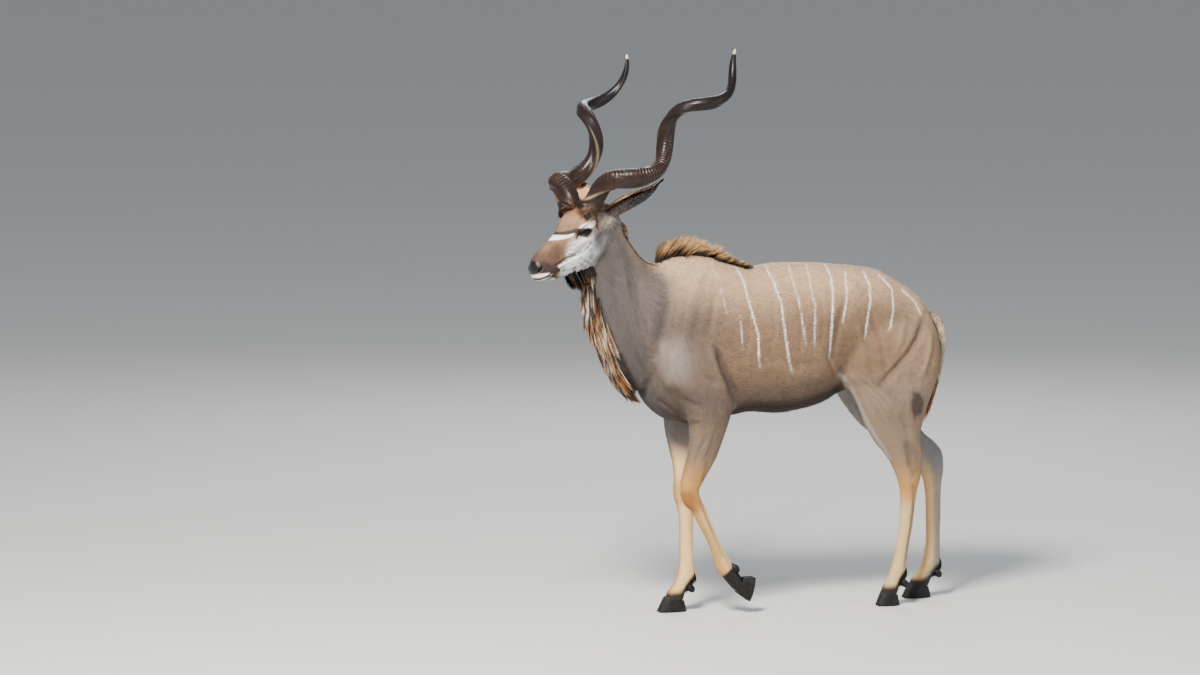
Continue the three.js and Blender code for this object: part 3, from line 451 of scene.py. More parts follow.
class Samples:
    """Points spread over every form, with their place on it, to tell which form a skin point belongs to."""

    def __init__(self):
        self.forms = []
        for number, (form, (rings, sides)) in enumerate(zip(FORMS, GRIDS)):
            t, angle = (v.ravel() for v in np.meshgrid(np.linspace(0, 1, rings), circle(sides), indexing="ij"))
            points = form.at(t, angle)
            lie = form.at(np.minimum(t + 0.01, 1), angle) - form.at(np.maximum(t - 0.01, 0), angle)
            lie /= np.maximum(np.linalg.norm(lie, axis=1), 1e-6)[:, None]
            tree = KDTree(len(points))
            for i, p in enumerate(points):
                tree.insert(p, i)
            tree.balance()
            self.forms.append((tree, points, t, angle, -lie if number == HEAD_ID else lie))

    def find(self, places):
        """For each place: nearest form, its t, angle and lie of the hair, and the distance to the second form."""
        count = len(places)
        gaps = np.full((len(FORMS), count), 1e6)
        index = np.zeros((len(FORMS), count), int)
        for number, (tree, points, _, _, _) in enumerate(self.forms):
            near = ((places > points.min(0) - SEARCH) & (places < points.max(0) + SEARCH)).all(1)
            for k in np.nonzero(near)[0]:
                _, index[number, k], gaps[number, k] = tree.find(places[k])
        best = gaps.argmin(0)
        chosen = index[best, np.arange(count)]
        t, angle, lie = np.empty(count), np.empty(count), np.empty((count, 3))
        for number, (_, _, *own) in enumerate(self.forms):
            mine = best == number
            t[mine], angle[mine], lie[mine] = (values[chosen[mine]] for values in own)
        return best, t, angle, lie, np.sort(gaps, axis=0)[1]


def refine(mesh, inside):
    """Splits the edges whose two ends lie inside, so that the mesh there is finer."""
    bm = bmesh.new()
    bm.from_mesh(mesh)
    bm.verts.ensure_lookup_table()
    edges = [e for e in bm.edges if inside[e.verts[0].index] and inside[e.verts[1].index]]
    bmesh.ops.subdivide_edges(bm, edges=edges, cuts=1, use_grid_fill=True)
    bm.to_mesh(mesh)
    bm.free()


def sculpt_body(points, normals, picture, form):
    """Presses the grooves of BODY_LINES into the skin and raises its ridges."""
    out = np.zeros(len(points))
    for line, width, depth, forms in BODY_LINES:
        mine = np.isin(form, forms)
        gap, share = line_distance(picture[mine], line)
        fade = np.minimum(1, 4 * np.minimum(share, 1 - share) + 0.25)
        out[mine] -= depth * fade * np.exp(-(gap * 1000 / PIXELS_PER_METRE / width) ** 2)
    return points + normals * out[:, None]


# Lines on the near side of the body, in picture pixels: (line, width mm, depth mm, forms); depth below 0 is a ridge
SIDE = (TRUNK_ID, FL_ID, FR_ID, HL_ID, HR_ID)
CHEST = (TRUNK_ID, NECK_ID, FL_ID, FR_ID)
THROAT = (NECK_ID, TRUNK_ID)
BODY_LINES = [
    ([(717, 348), (722, 365), (729, 382), (736, 398)], 12, 17, SIDE),
    ([(709, 346), (714, 364), (721, 382), (728, 396)], 15, -10, SIDE),
    ([(655, 398), (668, 408), (686, 417)], 8, 8, CHEST),
    ([(672, 300), (664, 330), (659, 352)], 24, 7, CHEST),
    ([(700, 272), (692, 305), (684, 345)], 22, -7, SIDE),
    ([(716, 290), (712, 315), (708, 335)], 16, 5, SIDE),
    ([(690, 362), (704, 376), (718, 386)], 14, 7, SIDE),
    ([(652, 356), (660, 372), (668, 388)], 20, -8, (TRUNK_ID, NECK_ID, FL_ID)),
    ([(672, 385), (680, 398), (700, 408)], 14, 6, SIDE),
    ([(846, 300), (840, 325), (835, 350), (834, 372)], 24, 14, SIDE),
    ([(826, 352), (832, 366), (836, 380)], 9, 6, SIDE),
    ([(850, 284), (862, 296)], 22, -10, SIDE),
    ([(868, 308), (878, 330), (884, 352), (888, 380)], 15, 6, SIDE),
    ([(858, 320), (862, 345), (866, 370)], 14, -5, SIDE),
    ([(925, 315), (920, 335), (910, 352), (896, 368), (878, 388)], 14, 12, SIDE),
    ([(932, 330), (930, 352), (922, 378)], 12, -7, SIDE),
    ([(905, 318), (902, 338), (896, 352)], 12, -5, SIDE),
    ([(866, 368), (880, 380), (896, 396)], 6, 3.5, SIDE),
    ([(860, 380), (875, 393), (890, 410)], 6, 3.5, SIDE),
    ([(868, 392), (880, 406), (890, 424)], 6, 3, SIDE),
    ([(853, 372), (866, 396), (880, 420)], 12, 3, SIDE),
    ([(893, 395), (903, 412), (912, 436)], 11, 8, SIDE),
    ([(760, 352), (790, 366), (820, 366)], 26, 6, SIDE),
    ([(752, 400), (785, 402), (815, 394)], 18, -4, SIDE),
    ([(900, 285), (918, 300), (926, 318)], 14, -6, SIDE),
    ([(772, 300), (774, 330), (770, 352)], 9, 2, (TRUNK_ID,)),
    ([(796, 296), (800, 328), (798, 352)], 9, 2, (TRUNK_ID,)),
    ([(819, 296), (822, 325), (818, 348)], 9, 2, (TRUNK_ID,)),
    ([(748, 306), (748, 336), (744, 360)], 9, 2, (TRUNK_ID,)),
    ([(706, 436), (698, 452), (693, 468)], 8, 4, (FL_ID,)),
    ([(716, 428), (711, 446), (704, 462)], 7, 5, (FL_ID,)),
    ([(690, 430), (688, 450), (686, 470)], 8, 3, (FL_ID,)),
    ([(699, 500), (708, 520), (718, 545), (726, 562)], 6, 3.5, (FL_ID,)),
    ([(705, 500), (715, 522), (725, 545), (732, 560)], 5, -2.5, (FL_ID,)),
    ([(907, 444), (911, 456), (913, 470)], 10, 9, (HL_ID,)),
    ([(893, 476), (899, 495), (899, 530), (893, 560)], 5, -2.5, (HL_ID,)),
    ([(906, 478), (907, 510), (902, 545)], 4.5, 4.5, (HL_ID,)),
    ([(935, 470), (938, 500), (937, 545)], 5, 3.5, (HR_ID,)),
    ([(684, 508), (686, 535), (686, 565)], 5, 3, (FR_ID,)),
    ([(612, 262), (616, 290), (622, 325), (634, 360), (648, 385)], 18, 9, THROAT),
    ([(600, 275), (606, 310), (618, 345), (630, 372)], 13, -6, (NECK_ID,)),
    ([(594, 290), (600, 318), (611, 345), (624, 370)], 8, 4, (NECK_ID,)),
    ([(632, 268), (640, 300), (650, 332)], 20, 7, THROAT),
    ([(622, 262), (628, 295), (637, 330), (650, 360)], 10, -5, THROAT),
    ([(604, 262), (610, 272), (622, 280)], 7, 4, (NECK_ID,)),
    ([(601, 272), (608, 284), (620, 292)], 7, 3, (NECK_ID,)),
]

# ---------------------------------------------------------------- face
EYE_PLACE = (65.0, -51.0, 56.0)
EYE_OUT = np.array([0.30, 0.10, 0.95])
EYE_BACK = np.array([-1.0, -0.42, 0.0])
EYE_OUT /= np.linalg.norm(EYE_OUT)
EYE_BACK -= EYE_OUT * (EYE_BACK @ EYE_OUT)
EYE_BACK /= np.linalg.norm(EYE_BACK)
EYE_UP = np.cross(EYE_OUT, EYE_BACK)
if EYE_UP[1] < 0:
    EYE_UP = -EYE_UP
EYE_HALF = 24.0
MOUTH = [(344, -79), (330, -82), (311, -88), (290, -94), (264, -98), (238, -102)]
NOSTRIL_PLACE, NOSTRIL_TURN = (310.0, -33.0), 0.42
LID_HIGH, LID_LOW = 10.5, 8.0          # how far the lids' middles are from the eye's middle, in mm
SIDEWAYS, UPWARDS = (0, 0, 1.0), (0, 1.0, 0)
# Broad forms of the face in the head's frame: (place, radii, mm, direction, or None for away from the face's middle)
FACE_FORMS = [
    ((62, -20, 60), (38, 12, 26), 6, None),                    # brow over the eye
    ((110, -74, 50), (46, 12, 24), 6, SIDEWAYS),               # cheek bone before the eye
    ((30, -90, 66), (40, 13, 24), 5, SIDEWAYS),                # cheek bone below and behind the eye
    ((150, -96, 46), (50, 20, 30), -4, SIDEWAYS),              # hollow of the cheek
    ((60, -150, 50), (54, 34, 40), 5, SIDEWAYS),               # jaw muscle
    ((205, -60, 42), (50, 22, 26), -3, SIDEWAYS),              # hollow beside the nose bone
    ((262, -72, 40), (34, 20, 26), 3, SIDEWAYS),               # upper lip's flesh
    ((120, 10, 0), (50, 20, 26), 3, UPWARDS),                  # bridge of the nose
    ((180, 8, 0), (30, 20, 18), -2, UPWARDS),                  # dip below it
    ((304, -112, 0), (26, 22, 30), 2, (0.3, -1.0, 0)),         # chin
]

# Creases and ridges of the face in picture pixels: (line, width px, depth mm)
FACE_LINES = [
    ([(556, 266.8), (562, 263), (566, 260), (575, 257), (583, 252)], 1.0, 3.6),
    ([(558, 269.6), (566, 264.6), (575, 261), (583, 256.5)], 1.6, -2.2),
    ([(581, 257), (589, 249), (592, 243)], 1.0, 2.4),
    ([(562, 272), (570, 271.5), (579, 268), (588, 263)], 1.6, 1.6),
    ([(572, 243), (570, 250), (566, 257)], 2.2, 1.6),
    ([(596.6, 216), (596, 222), (597.5, 229), (600, 236)], 1.3, 5.0),
    ([(555, 238.5), (565, 238.3), (574, 237)], 1.8, 1.0),
    ([(580, 240), (588, 239), (594, 236)], 1.6, 1.8),
    ([(611, 219), (606, 225), (602.5, 230)], 1.2, 2.6),
]


def near_side(local):
    """Points of the head's frame, all turned to its left side."""
    out = local.copy()
    out[:, 2] = np.abs(out[:, 2])
    return out


def eye_local(local):
    """Points of the head's frame, seen from the eye: back, up and out from its middle."""
    d = local - np.array(EYE_PLACE)
    return d @ EYE_BACK, d @ EYE_UP, d @ EYE_OUT


def eye_opening(a, b):
    """Signed distance, roughly in mm, outside the almond between the lids (negative inside)."""
    share = np.clip(np.abs(a) / EYE_HALF, 0, 1)
    upper = LID_HIGH * (1 - share ** 2.2) * (1 + 0.12 * a / EYE_HALF)
    lower = -LID_LOW * (1 - share ** 2.0)
    inner = np.minimum(upper - b, b - lower)
    ends = np.maximum(np.abs(a) - EYE_HALF, 0)
    return np.where(inner > 0, -inner, np.hypot(ends, -inner) * 0.9)


def sculpt_face(points):
    """Lids, brow, nostril, lips and cheek, alike on both sides. Points are in the head's frame."""
    side = np.where(points[:, 2] < 0, -1.0, 1.0)
    local = near_side(points)
    outward = step(8, 30, local[:, 2])
    push = np.zeros_like(local)
    for place, radii, amount, direction in FACE_FORMS:
        share = np.exp(-(((local - np.array(place)) / np.array(radii)) ** 2).sum(1))
        if direction is None:
            direction = (local - np.array([place[0], -90, 0])) * np.array([0, 0.5, 1])
            direction = direction / np.maximum(np.linalg.norm(direction, axis=1), 1e-6)[:, None]
        push += (amount * share)[:, None] * direction
    local = local + push
    s, v, w = local.T                      # these follow each change of local below
    # nostril: a comma-shaped pit with a raised rim
    ds, dv = s - NOSTRIL_PLACE[0], v - NOSTRIL_PLACE[1]
    turned_s = ds * math.cos(NOSTRIL_TURN) + dv * -math.sin(NOSTRIL_TURN)
    turned_v = ds * math.sin(NOSTRIL_TURN) + dv * math.cos(NOSTRIL_TURN)
    r = np.hypot(turned_s / 15.0, (turned_v - 0.016 * turned_s ** 2 + 1.5) / 6.5)
    near = outward * (w < 60)
    local[:, 2] -= 13 * near * (1 - step(0.55, 1.1, r))
    local[:, 2] += 3.2 * near * np.exp(-((r - 1.45) / 0.36) ** 2)
    # groove from the nostril down to the lip, and the lip line
    gap, _ = line_distance(local[:, :2], MOUTH)
    front = step(236, 262, s)
    local[:, 2] -= (4.6 * np.exp(-(gap / 2.3) ** 2) * front) * step(3, 16, w)
    middle = (s > 294) & (w < 30)
    local[:, 0] -= np.where(middle, 1.8 * np.exp(-(gap / 2.3) ** 2) * step(310, 326, s), 0)
    lip_up, _ = line_distance(local[:, :2], [(p, q + 9) for p, q in MOUTH])
    lip_low, _ = line_distance(local[:, :2], [(p, q - 8) for p, q in MOUTH])
    lips = 2.6 * np.exp(-(lip_up / 5) ** 2) + 2.0 * np.exp(-(lip_low / 4.5) ** 2)
    local[:, 2] += step(244, 284, s) * lips * outward
    philtrum = np.exp(-(w / 2.6) ** 2) * step(314, 326, s) * (v > -78) * (v < -40)
    local[:, 0] -= 2.5 * philtrum
    # creases of the cheek and jaw, set in the near side's picture
    shown = to_picture(HEAD_CENTRE + local @ HEAD_AXES)
    for line, width, depth in FACE_LINES:
        gap, share = line_distance(shown, line)
        fade = np.minimum(1, 5 * np.minimum(share, 1 - share) + 0.2)
        local[:, 2] -= depth * fade * np.exp(-(gap / width) ** 2) * step(14, 30, w)
    # eye: the ball shows between two lids of some thickness
    a, b, c = eye_local(local)
    opening = eye_opening(a, b)
    reach = np.hypot(a, b)
    ball_c = np.sqrt(np.maximum(EYE_RADIUS ** 2 - np.minimum(reach, 19.5) ** 2, 1))
    ball_c = ball_c - 0.35 * np.maximum(reach - 19.5, 0)
    lid = ball_c + 3.0 + 1.6 * step(0, 7, b) - 1.9 * np.exp(-((opening - 9.0) / 2.2) ** 2)
    edge = step(-1.6, 0.6, opening)
    target = (ball_c - 5) * (1 - edge) + lid * edge
    target = np.where(a < -EYE_HALF + 2, np.minimum(target, lid - 2.0 * np.exp(-(b / 2.5) ** 2)), target)
    hold = (1 - step(6, 17, opening)) * (c > -16) * (reach < 52)
    hold = np.where(opening < 6, (c > -16) * (reach < 52), hold)
    local = local + ((target - c) * hold)[:, None] * EYE_OUT
    tear, _ = line_distance(np.stack([a, b], 1), [(-EYE_HALF + 1, -1), (-EYE_HALF - 9, -5), (-EYE_HALF - 16, -10)])
    local = local - (2.2 * np.exp(-(tear / 2.2) ** 2) * (c > -24) * (reach < 60))[:, None] * EYE_OUT
    local[:, 2] *= side
    return local


def about_head(local, back):
    """Whether points of the head's frame are part of the head, from back mm along the face."""
    s, v, w = local.T
    return (np.abs(w) < 100) & (s > back) & (s < 360) & (v > -230) & (v < 60)


def refine_head(mesh, inside, back, turns):
    """Refines the mesh inside and relaxes the head from back mm along the face.

    Gives the points, the points before that in the head's frame, which of them are the head's, and the smoother."""
    refine(mesh, inside)
    points = coordinates(mesh) / MM
    local = to_head(points)
    near_head = about_head(local, back)
    smoother = Smoother(edges_of(mesh), len(points))
    return smoother.relax(points, turns, near_head.astype(float)), local, near_head, smoother


def build_skin():
    """The skin's mesh, and for each of its points the form, t, angle and lie of the hair."""
    parts = [grid_mesh(form, rings, sides) for form, (rings, sides) in zip(FORMS, GRIDS)]
    for s, v, w, radii in SWELLINGS:
        for side in (1, -1):
            parts.append(ball(on_head(s, v, side * w), radii, HEAD_AXES))
    mesh = remeshed(*join_parts(parts), VOXEL)
    samples = Samples()
    points = coordinates(mesh) / MM
    form, t, angle, lie, second = samples.find(points)
    smoother = Smoother(edges_of(mesh), len(points))
    seam = smoother.soften(1 - step(6, 44, second), 4)
    points = smoother.relax(points, 5)
    points = smoother.soften(points, 34, np.clip(seam, 0, 1) * np.where(form == HEAD_ID, 0.5, 1.0))
    set_coordinates(mesh, points * MM)
    normals = smoother.soften(normals_of(mesh), 6)
    points = sculpt_body(points, normals, to_picture(mirrored(points, form, t)), form)
    points = smoother.relax(points, 3)
    set_coordinates(mesh, points * MM)
    # finer mesh over the head, and finer again at the eyes, nose and mouth
    on_skull = (form == HEAD_ID) & (to_head(points)[:, 0] > -100)
    points, local, near_head, _ = refine_head(mesh, on_skull, -95, 8)
    set_coordinates(mesh, points * MM)
    a, b, c = eye_local(near_side(local))
    detail = (np.abs(a + 6) < 46) & (np.abs(b) < 26) & (c > -22)
    detail |= (local[:, 0] > 226) & (np.abs(local[:, 2]) < 70)
    points, _, near_head, smoother = refine_head(mesh, detail & near_head, -70, 6)
    local = to_head(points)
    local[near_head] = sculpt_face(local[near_head])
    points = HEAD_CENTRE + local @ HEAD_AXES
    fine = near_head & (local[:, 0] > -40)
    points = smoother.relax(points, 2, fine.astype(float))
    set_coordinates(mesh, points * MM)
    form, t, angle, lie, _ = samples.find(points)
    return mesh, form, t, angle, smoother.soften(lie, 14)


def mirrored(points, form, t):
    """The same point on the near side: the body, neck and head are handled alike on both sides."""
    out = points.copy()
    body = (form == TRUNK_ID)
    out[body, 1] = -np.abs(out[body, 1])
    mine = form == NECK_ID
    if mine.any():
        centre = neck.row(t[mine])[:, 4]
        out[mine, 1] = centre - np.abs(out[mine, 1] - centre)
    mine = form == HEAD_ID
    local = to_head(out[mine])
    local[:, 2] = np.abs(local[:, 2])
    out[mine] = HEAD_CENTRE + local @ HEAD_AXES
    return out


# ---------------------------------------------------------------- colours and markings
def linear(colour):
    c = np.asarray(colour, float) / 255
    return np.where(c <= 0.04045, c / 12.92, ((c + 0.055) / 1.055) ** 2.4)


# White stripes of the near side in picture pixels: (line, half width in mm, strength)
STRIPES = [
    ([(735, 266), (743, 282), (749, 307), (757, 334), (758, 361), (760, 371)], 4.2, 0.9),
    ([(765, 266), (771, 278), (780, 303), (784.5, 339), (788, 361), (792, 375)], 4.2, 0.85),
    ([(788, 265), (791, 278), (798, 303), (803, 333), (805, 349)], 3.6, 0.55),
    ([(806, 264), (809, 282), (814, 307), (813, 349)], 3.6, 0.6),
    ([(824.5, 264), (830, 275), (832, 293), (831, 320), (829, 351), (828, 361)], 5.2, 1.0),
    ([(845, 271), (846, 298), (841.5, 324.5)], 4, 0.9),
    ([(863, 271), (869, 285), (870, 300), (866, 325), (864, 341)], 4.4, 0.95),
    ([(879, 274), (892, 289), (893, 310), (890, 328), (886, 332)], 4.4, 0.95),
    ([(902, 289), (915, 301), (922.5, 316)], 4, 0.8),
    ([(713, 271), (718, 280)], 3.4, 0.4), ([(720, 288), (726, 315)], 3.4, 0.4),
    ([(738.5, 315), (742, 351)], 3.4, 0.45),
]
TINTS = {
    "flank": (119, 94, 71), "back": (188, 155, 121), "belly": (84, 70, 61), "shoulder": (92, 77, 67),
    "shoulder_highlight": (150, 142, 134), "neck": (76, 70, 68), "rump": (146, 118, 93), "midline": (44, 29, 22),
    "stripe": (244, 241, 234), "spine": (205, 185, 158), "crest": (50, 36, 29), "forehead": (148, 114, 86),
    "muzzle": (124, 93, 70), "cheek": (212, 212, 210), "cheek_dark": (104, 103, 106), "muzzle_dark": (66, 47, 38),
    "white": (254, 253, 251), "pad": (22, 20, 21), "dark": (40, 31, 28), "ear_base": (128, 117, 108),
    "leg": (190, 138, 72), "leg_pale": (232, 192, 130), "leg_grey": (208, 178, 130), "leg_dark": (128, 106, 86),
    "thigh": (146, 123, 104), "knee": (140, 82, 32), "pastern": (15, 13, 13), "fringe_skin": (84, 68, 56),
    "horn_fur": (76, 52, 38), "temple": (118, 88, 64), "shade": (58, 47, 41), "far_leg_shade": (120, 118, 118),
    "horn_black": (17, 14, 14), "horn_brown": (36, 24, 20), "horn_red": (30, 20, 15), "horn_pale": (176, 152, 124),
    "horn_tip": (226, 208, 176), "horn_wear_and_highlight": (112, 90, 74), "horn_fur_low": (92, 62, 42),
    "horn_fur_high": (38, 26, 20), "ear_grey": (72, 67, 64), "ear_foot": (118, 107, 98), "ear_rim": (24, 20, 20),
    "ear_tan": (186, 140, 102), "ear_pale": (222, 196, 160), "ear_hair": (198, 170, 136),
    "ear_hair_root": (132, 98, 74), "ear_edge": (44, 36, 34), "ear_edge_low": (190, 172, 150), "eye": (9, 7, 7),
    "iris": (11, 7, 5), "pupil": (4, 3, 4), "hoof_dark": (9, 9, 9), "hoof_light": (31, 29, 28),
    "crest_root": (48, 35, 29), "crest_tip": (212, 164, 110), "fringe_root": (40, 30, 25),
    "fringe_gold": (186, 120, 54), "fringe_cream": (232, 220, 198), "fringe_black": (36, 29, 27),
    "cream_root": (150, 128, 104), "nape_root": (88, 72, 60), "nape_tip": (156, 130, 104),
    "beard_root": (38, 31, 28), "beard_black": (48, 38, 32), "beard_tan": (176, 118, 68), "lash": (20, 16, 16),
    "fetlock": (26, 21, 19), "tail": (132, 104, 82), "tail_pale": (222, 206, 180), "tail_dark": (70, 42, 28),
    "tail_rust": (176, 104, 54), "orange": (168, 100, 54),
}
TINTS = {name: linear(value) for name, value in TINTS.items()}


def blend(colour, name, share):
    share = np.clip(share, 0, 1)[:, None]
    return colour * (1 - share) + TINTS[name] * share


def band(points, line, width, soft):
    """1 within width pixels of a line, falling off over soft pixels."""
    gap, _ = line_distance(points, line)
    return 1 - step(width, width + soft, gap)


def patch(points, outline, soft):
    """1 inside a closed outline given in picture pixels, with a soft edge."""
    outline = np.array(outline, float)
    x, y = points.T
    inside = np.zeros(len(points), bool)
    for p, q in zip(outline, np.roll(outline, -1, axis=0)):
        cross = (p[1] > y) != (q[1] > y)
        reach = p[0] + (y - p[1]) / (q[1] - p[1] if abs(q[1] - p[1]) > 1e-9 else 1e-9) * (q[0] - p[0])
        inside ^= cross & (x < reach)
    gap, _ = line_distance(points, np.concatenate([outline, outline[:1]]))
    signed = np.where(inside, gap, -gap)
    return step(-soft, soft, signed)


# The neck's darker ground, partly its greyer coat and partly painted shade, and the painted highlight on the swell of
# the shoulder's point, in picture pixels
NECK_PATCH = [(540, 205), (624, 215), (640, 250), (656, 268), (672, 280), (672, 305), (664, 332), (651, 345),
              (648, 366), (653, 390), (666, 408), (640, 430), (590, 410), (530, 300)]
SHOULDER_HIGHLIGHT = [(660, 342), (680, 344), (692, 362), (684, 380), (668, 384), (657, 366)]
NOT_HEAD = (TRUNK_ID, NECK_ID, TAIL_ID, FL_ID, FR_ID, HL_ID, HR_ID)
# Markings and painted shade in picture pixels: (tint, line or outline, half width of a line or None in an outline,
# softness, strength)
BODY_MARKS = [
    ((FL_ID,), [
        ("knee", [(678, 491), (691, 488), (697, 498), (696, 511), (684, 512)], None, 5.0, 0.75),
        ("pastern", [(718, 580), (736, 563), (764, 590), (764, 612), (745, 612)], None, 1.6, 0.995),
        # painted shade in the forearm's muscle groove and along the back of the cannon
        ("shade", [(717, 432), (712, 446), (705, 464), (702, 480)], 0.5, 2.0, 0.4),
        ("shade", [(699, 500), (708, 522), (722, 556)], 0.5, 2.0, 0.35),
    ]),
    ((FR_ID,), [("knee", [(672, 482), (683, 478), (688, 492), (684, 505), (674, 504)], None, 5.0, 0.5)]),
    ((HL_ID,), [
        # painted shade in the hollow above the hock and along the cannon's grooves and edges
        ("dark", [(905, 441), (919, 446), (921, 472), (913, 476), (906, 462)], None, 4.5, 0.35),
        ("dark", [(908, 442), (912, 458), (914, 476)], 0.5, 1.8, 0.2),
        ("dark", [(914, 484), (915, 510), (908, 560)], 0.5, 1.8, 0.35),
        ("dark", [(893, 476), (900, 500), (899, 530)], 0.5, 1.8, 0.22),
    ]),
    (NOT_HEAD, [
        # painted shade in creases, folds and hollows: behind the triceps, between buttock and tail, along the
        # hamstring, at the brisket, in the flank and thigh folds and on the shoulder
        ("shade", [(712, 346), (718, 350), (727, 372), (737, 392), (737, 403), (730, 397), (720, 376)],
         None, 3.2, 0.62),
        ("shade", [(913, 392), (921, 393), (925, 402), (923, 414), (915, 419), (911, 408)], None, 2.6, 0.85),
        ("shade", [(922, 316), (927, 318), (922, 340), (911, 357), (898, 371), (880, 391), (877, 388), (893, 368),
                   (906, 352)], None, 2.8, 0.36),
        ("shade", [(655, 404), (668, 410), (686, 419), (702, 420), (690, 425), (664, 417)], None, 2.4, 0.7),
        ("shade", [(834, 352), (842, 330), (847, 336), (842, 360), (838, 374), (833, 372)], None, 4.0, 0.35),
        ("shade", [(862, 366), (878, 379), (893, 392), (889, 396), (872, 383)], None, 2.0, 0.22),
        ("shade", [(655, 352), (668, 372), (664, 384), (654, 372)], None, 4.0, 0.18),
        ("shade", [(684, 330), (696, 345), (700, 366), (690, 356)], None, 6.0, 0.16),
    ]),
    (THROAT, [
        ("dark", [(620, 356), (625, 368), (634, 387), (643, 403), (654, 415), (669, 422), (690, 426)], 1.4, 4.2, 0.75),
    ]),
]
THIGH_EDGE = [(839.6, 374.4), (848.6, 384.4), (867.6, 424.4), (878.6, 441.4), (889.6, 458.4)]
NOSE_PAD = [(522, 263), (531, 261.6), (537, 262.8), (542, 265.6), (543.6, 270), (540, 274), (526, 275.6)]
LIP_LINE = [(533, 280.3), (540.6, 280.7), (549, 277.2), (553, 274), (560.6, 271.5)]
CHEEK = [(571, 243), (578, 240), (590, 238), (600, 233), (612, 240), (606, 262), (590, 271), (575, 276), (560, 277),
         (562, 269), (568, 262), (567, 256), (568, 249)]
# painted shade behind the cheek, below the ear, in picture pixels
SHADE_BEHIND_CHEEK = [(594, 234), (640, 225), (640, 300), (560, 300), (566, 283), (580, 277), (592, 270), (598, 254)]
FACE_MARKS = [
    ("white", [(578.5, 229.8), (583, 226.5), (590, 223.2), (596, 222), (597, 224.8), (592.5, 229), (585, 230.6)],
     None, 0.8, 0.9),
    ("temple", [(551, 236), (553, 231), (566, 226), (579, 224), (580, 233), (566, 236)], None, 3.0, 0.7),
    # painted shade under the brow ridge, along the top of the white chevron
    ("dark", [(552, 236), (562, 235.6), (571, 234.2), (579, 232)], 1.1, 2.2, 0.9),
    ("white", [(553.7, 236.8), (568, 237), (575, 235), (573.6, 238.2), (567.4, 239.9), (560, 241.4), (549.8, 242.2)],
     None, 0.6, 1),
    ("dark", [(541, 265), (549, 265.5), (559, 267.5), (561, 271), (552, 274), (541, 273.4)], None, 1.6, 0.6),
    ("white", [(529, 276.2), (536, 276.4), (541, 275), (551, 274.4), (553, 275.8), (541, 279.2), (530, 280)],
     None, 0.7, 1),
    ("pad", NOSE_PAD, None, 0.9, 1),
    ("cheek", [(535, 281.5), (552.5, 278), (560, 282), (552, 287), (536, 287)], None, 0.9, 0.6),
    ("cheek_dark", [(538, 284.5), (548, 284), (558, 281)], 0.8, 1.6, 0.55),
]
EAR_FOOT = (608, 222)
CREASE_MARKS = [
    ("dark", LIP_LINE, 0.45, 0.8, 1),
    ("dark", [(553.4, 271.4), (559.7, 269.8), (560.8, 272), (555, 274.8)], None, 0.8, 0.9),
    ("white", [(560, 267.6), (567, 264), (577.7, 258.8), (585, 251.5)], 0.7, 1.0, 0.75),
    # painted shade in the cheek's crease, in the folds round the ear's foot and in the hollows beside its mound
    ("dark", [(556, 266.5), (562, 262.7), (566, 259.6), (576.5, 256)], 0.45, 0.8, 0.8),
    ("dark", [(579, 256.5), (585, 252), (589, 248), (592, 244.5)], 0.25, 0.8, 0.55),
    *(("dark", [(EAR_FOOT[0] + (x - EAR_FOOT[0]) * 0.35, EAR_FOOT[1] + (y - EAR_FOOT[1]) * 0.35), (x, y)], 0.25, 1.1,
       0.55) for x, y in ((602.6, 230), (606, 233), (611, 234), (617, 232), (621, 227))),
    ("shade", [(598, 214), (606, 212), (616, 214), (621, 219)], 0.3, 1.6, 0.6),
    ("dark", [(596.6, 217), (596.2, 222), (597.4, 228), (600, 234)], 0.5, 1.2, 0.85),
]


def lay(colour, points, marks, where=1):
    """Lays markings over a colour, in the order given."""
    for tint, line, width, soft, strength in marks:
        share = patch(points, line, soft) if width is None else band(points, line, width, soft)
        colour = blend(colour, tint, share * where * strength)
    return colour


def trunk_up(x, z):
    """Height on the trunk's section at x: 1 on its top line, -1 on its bottom line."""
    rows = np.array(TRUNK, float)
    top, bottom = np.interp(x, rows[:, 0], rows[:, 1]), np.interp(x, rows[:, 2], rows[:, 3])
    return (2 * z - top - bottom) / (top - bottom)


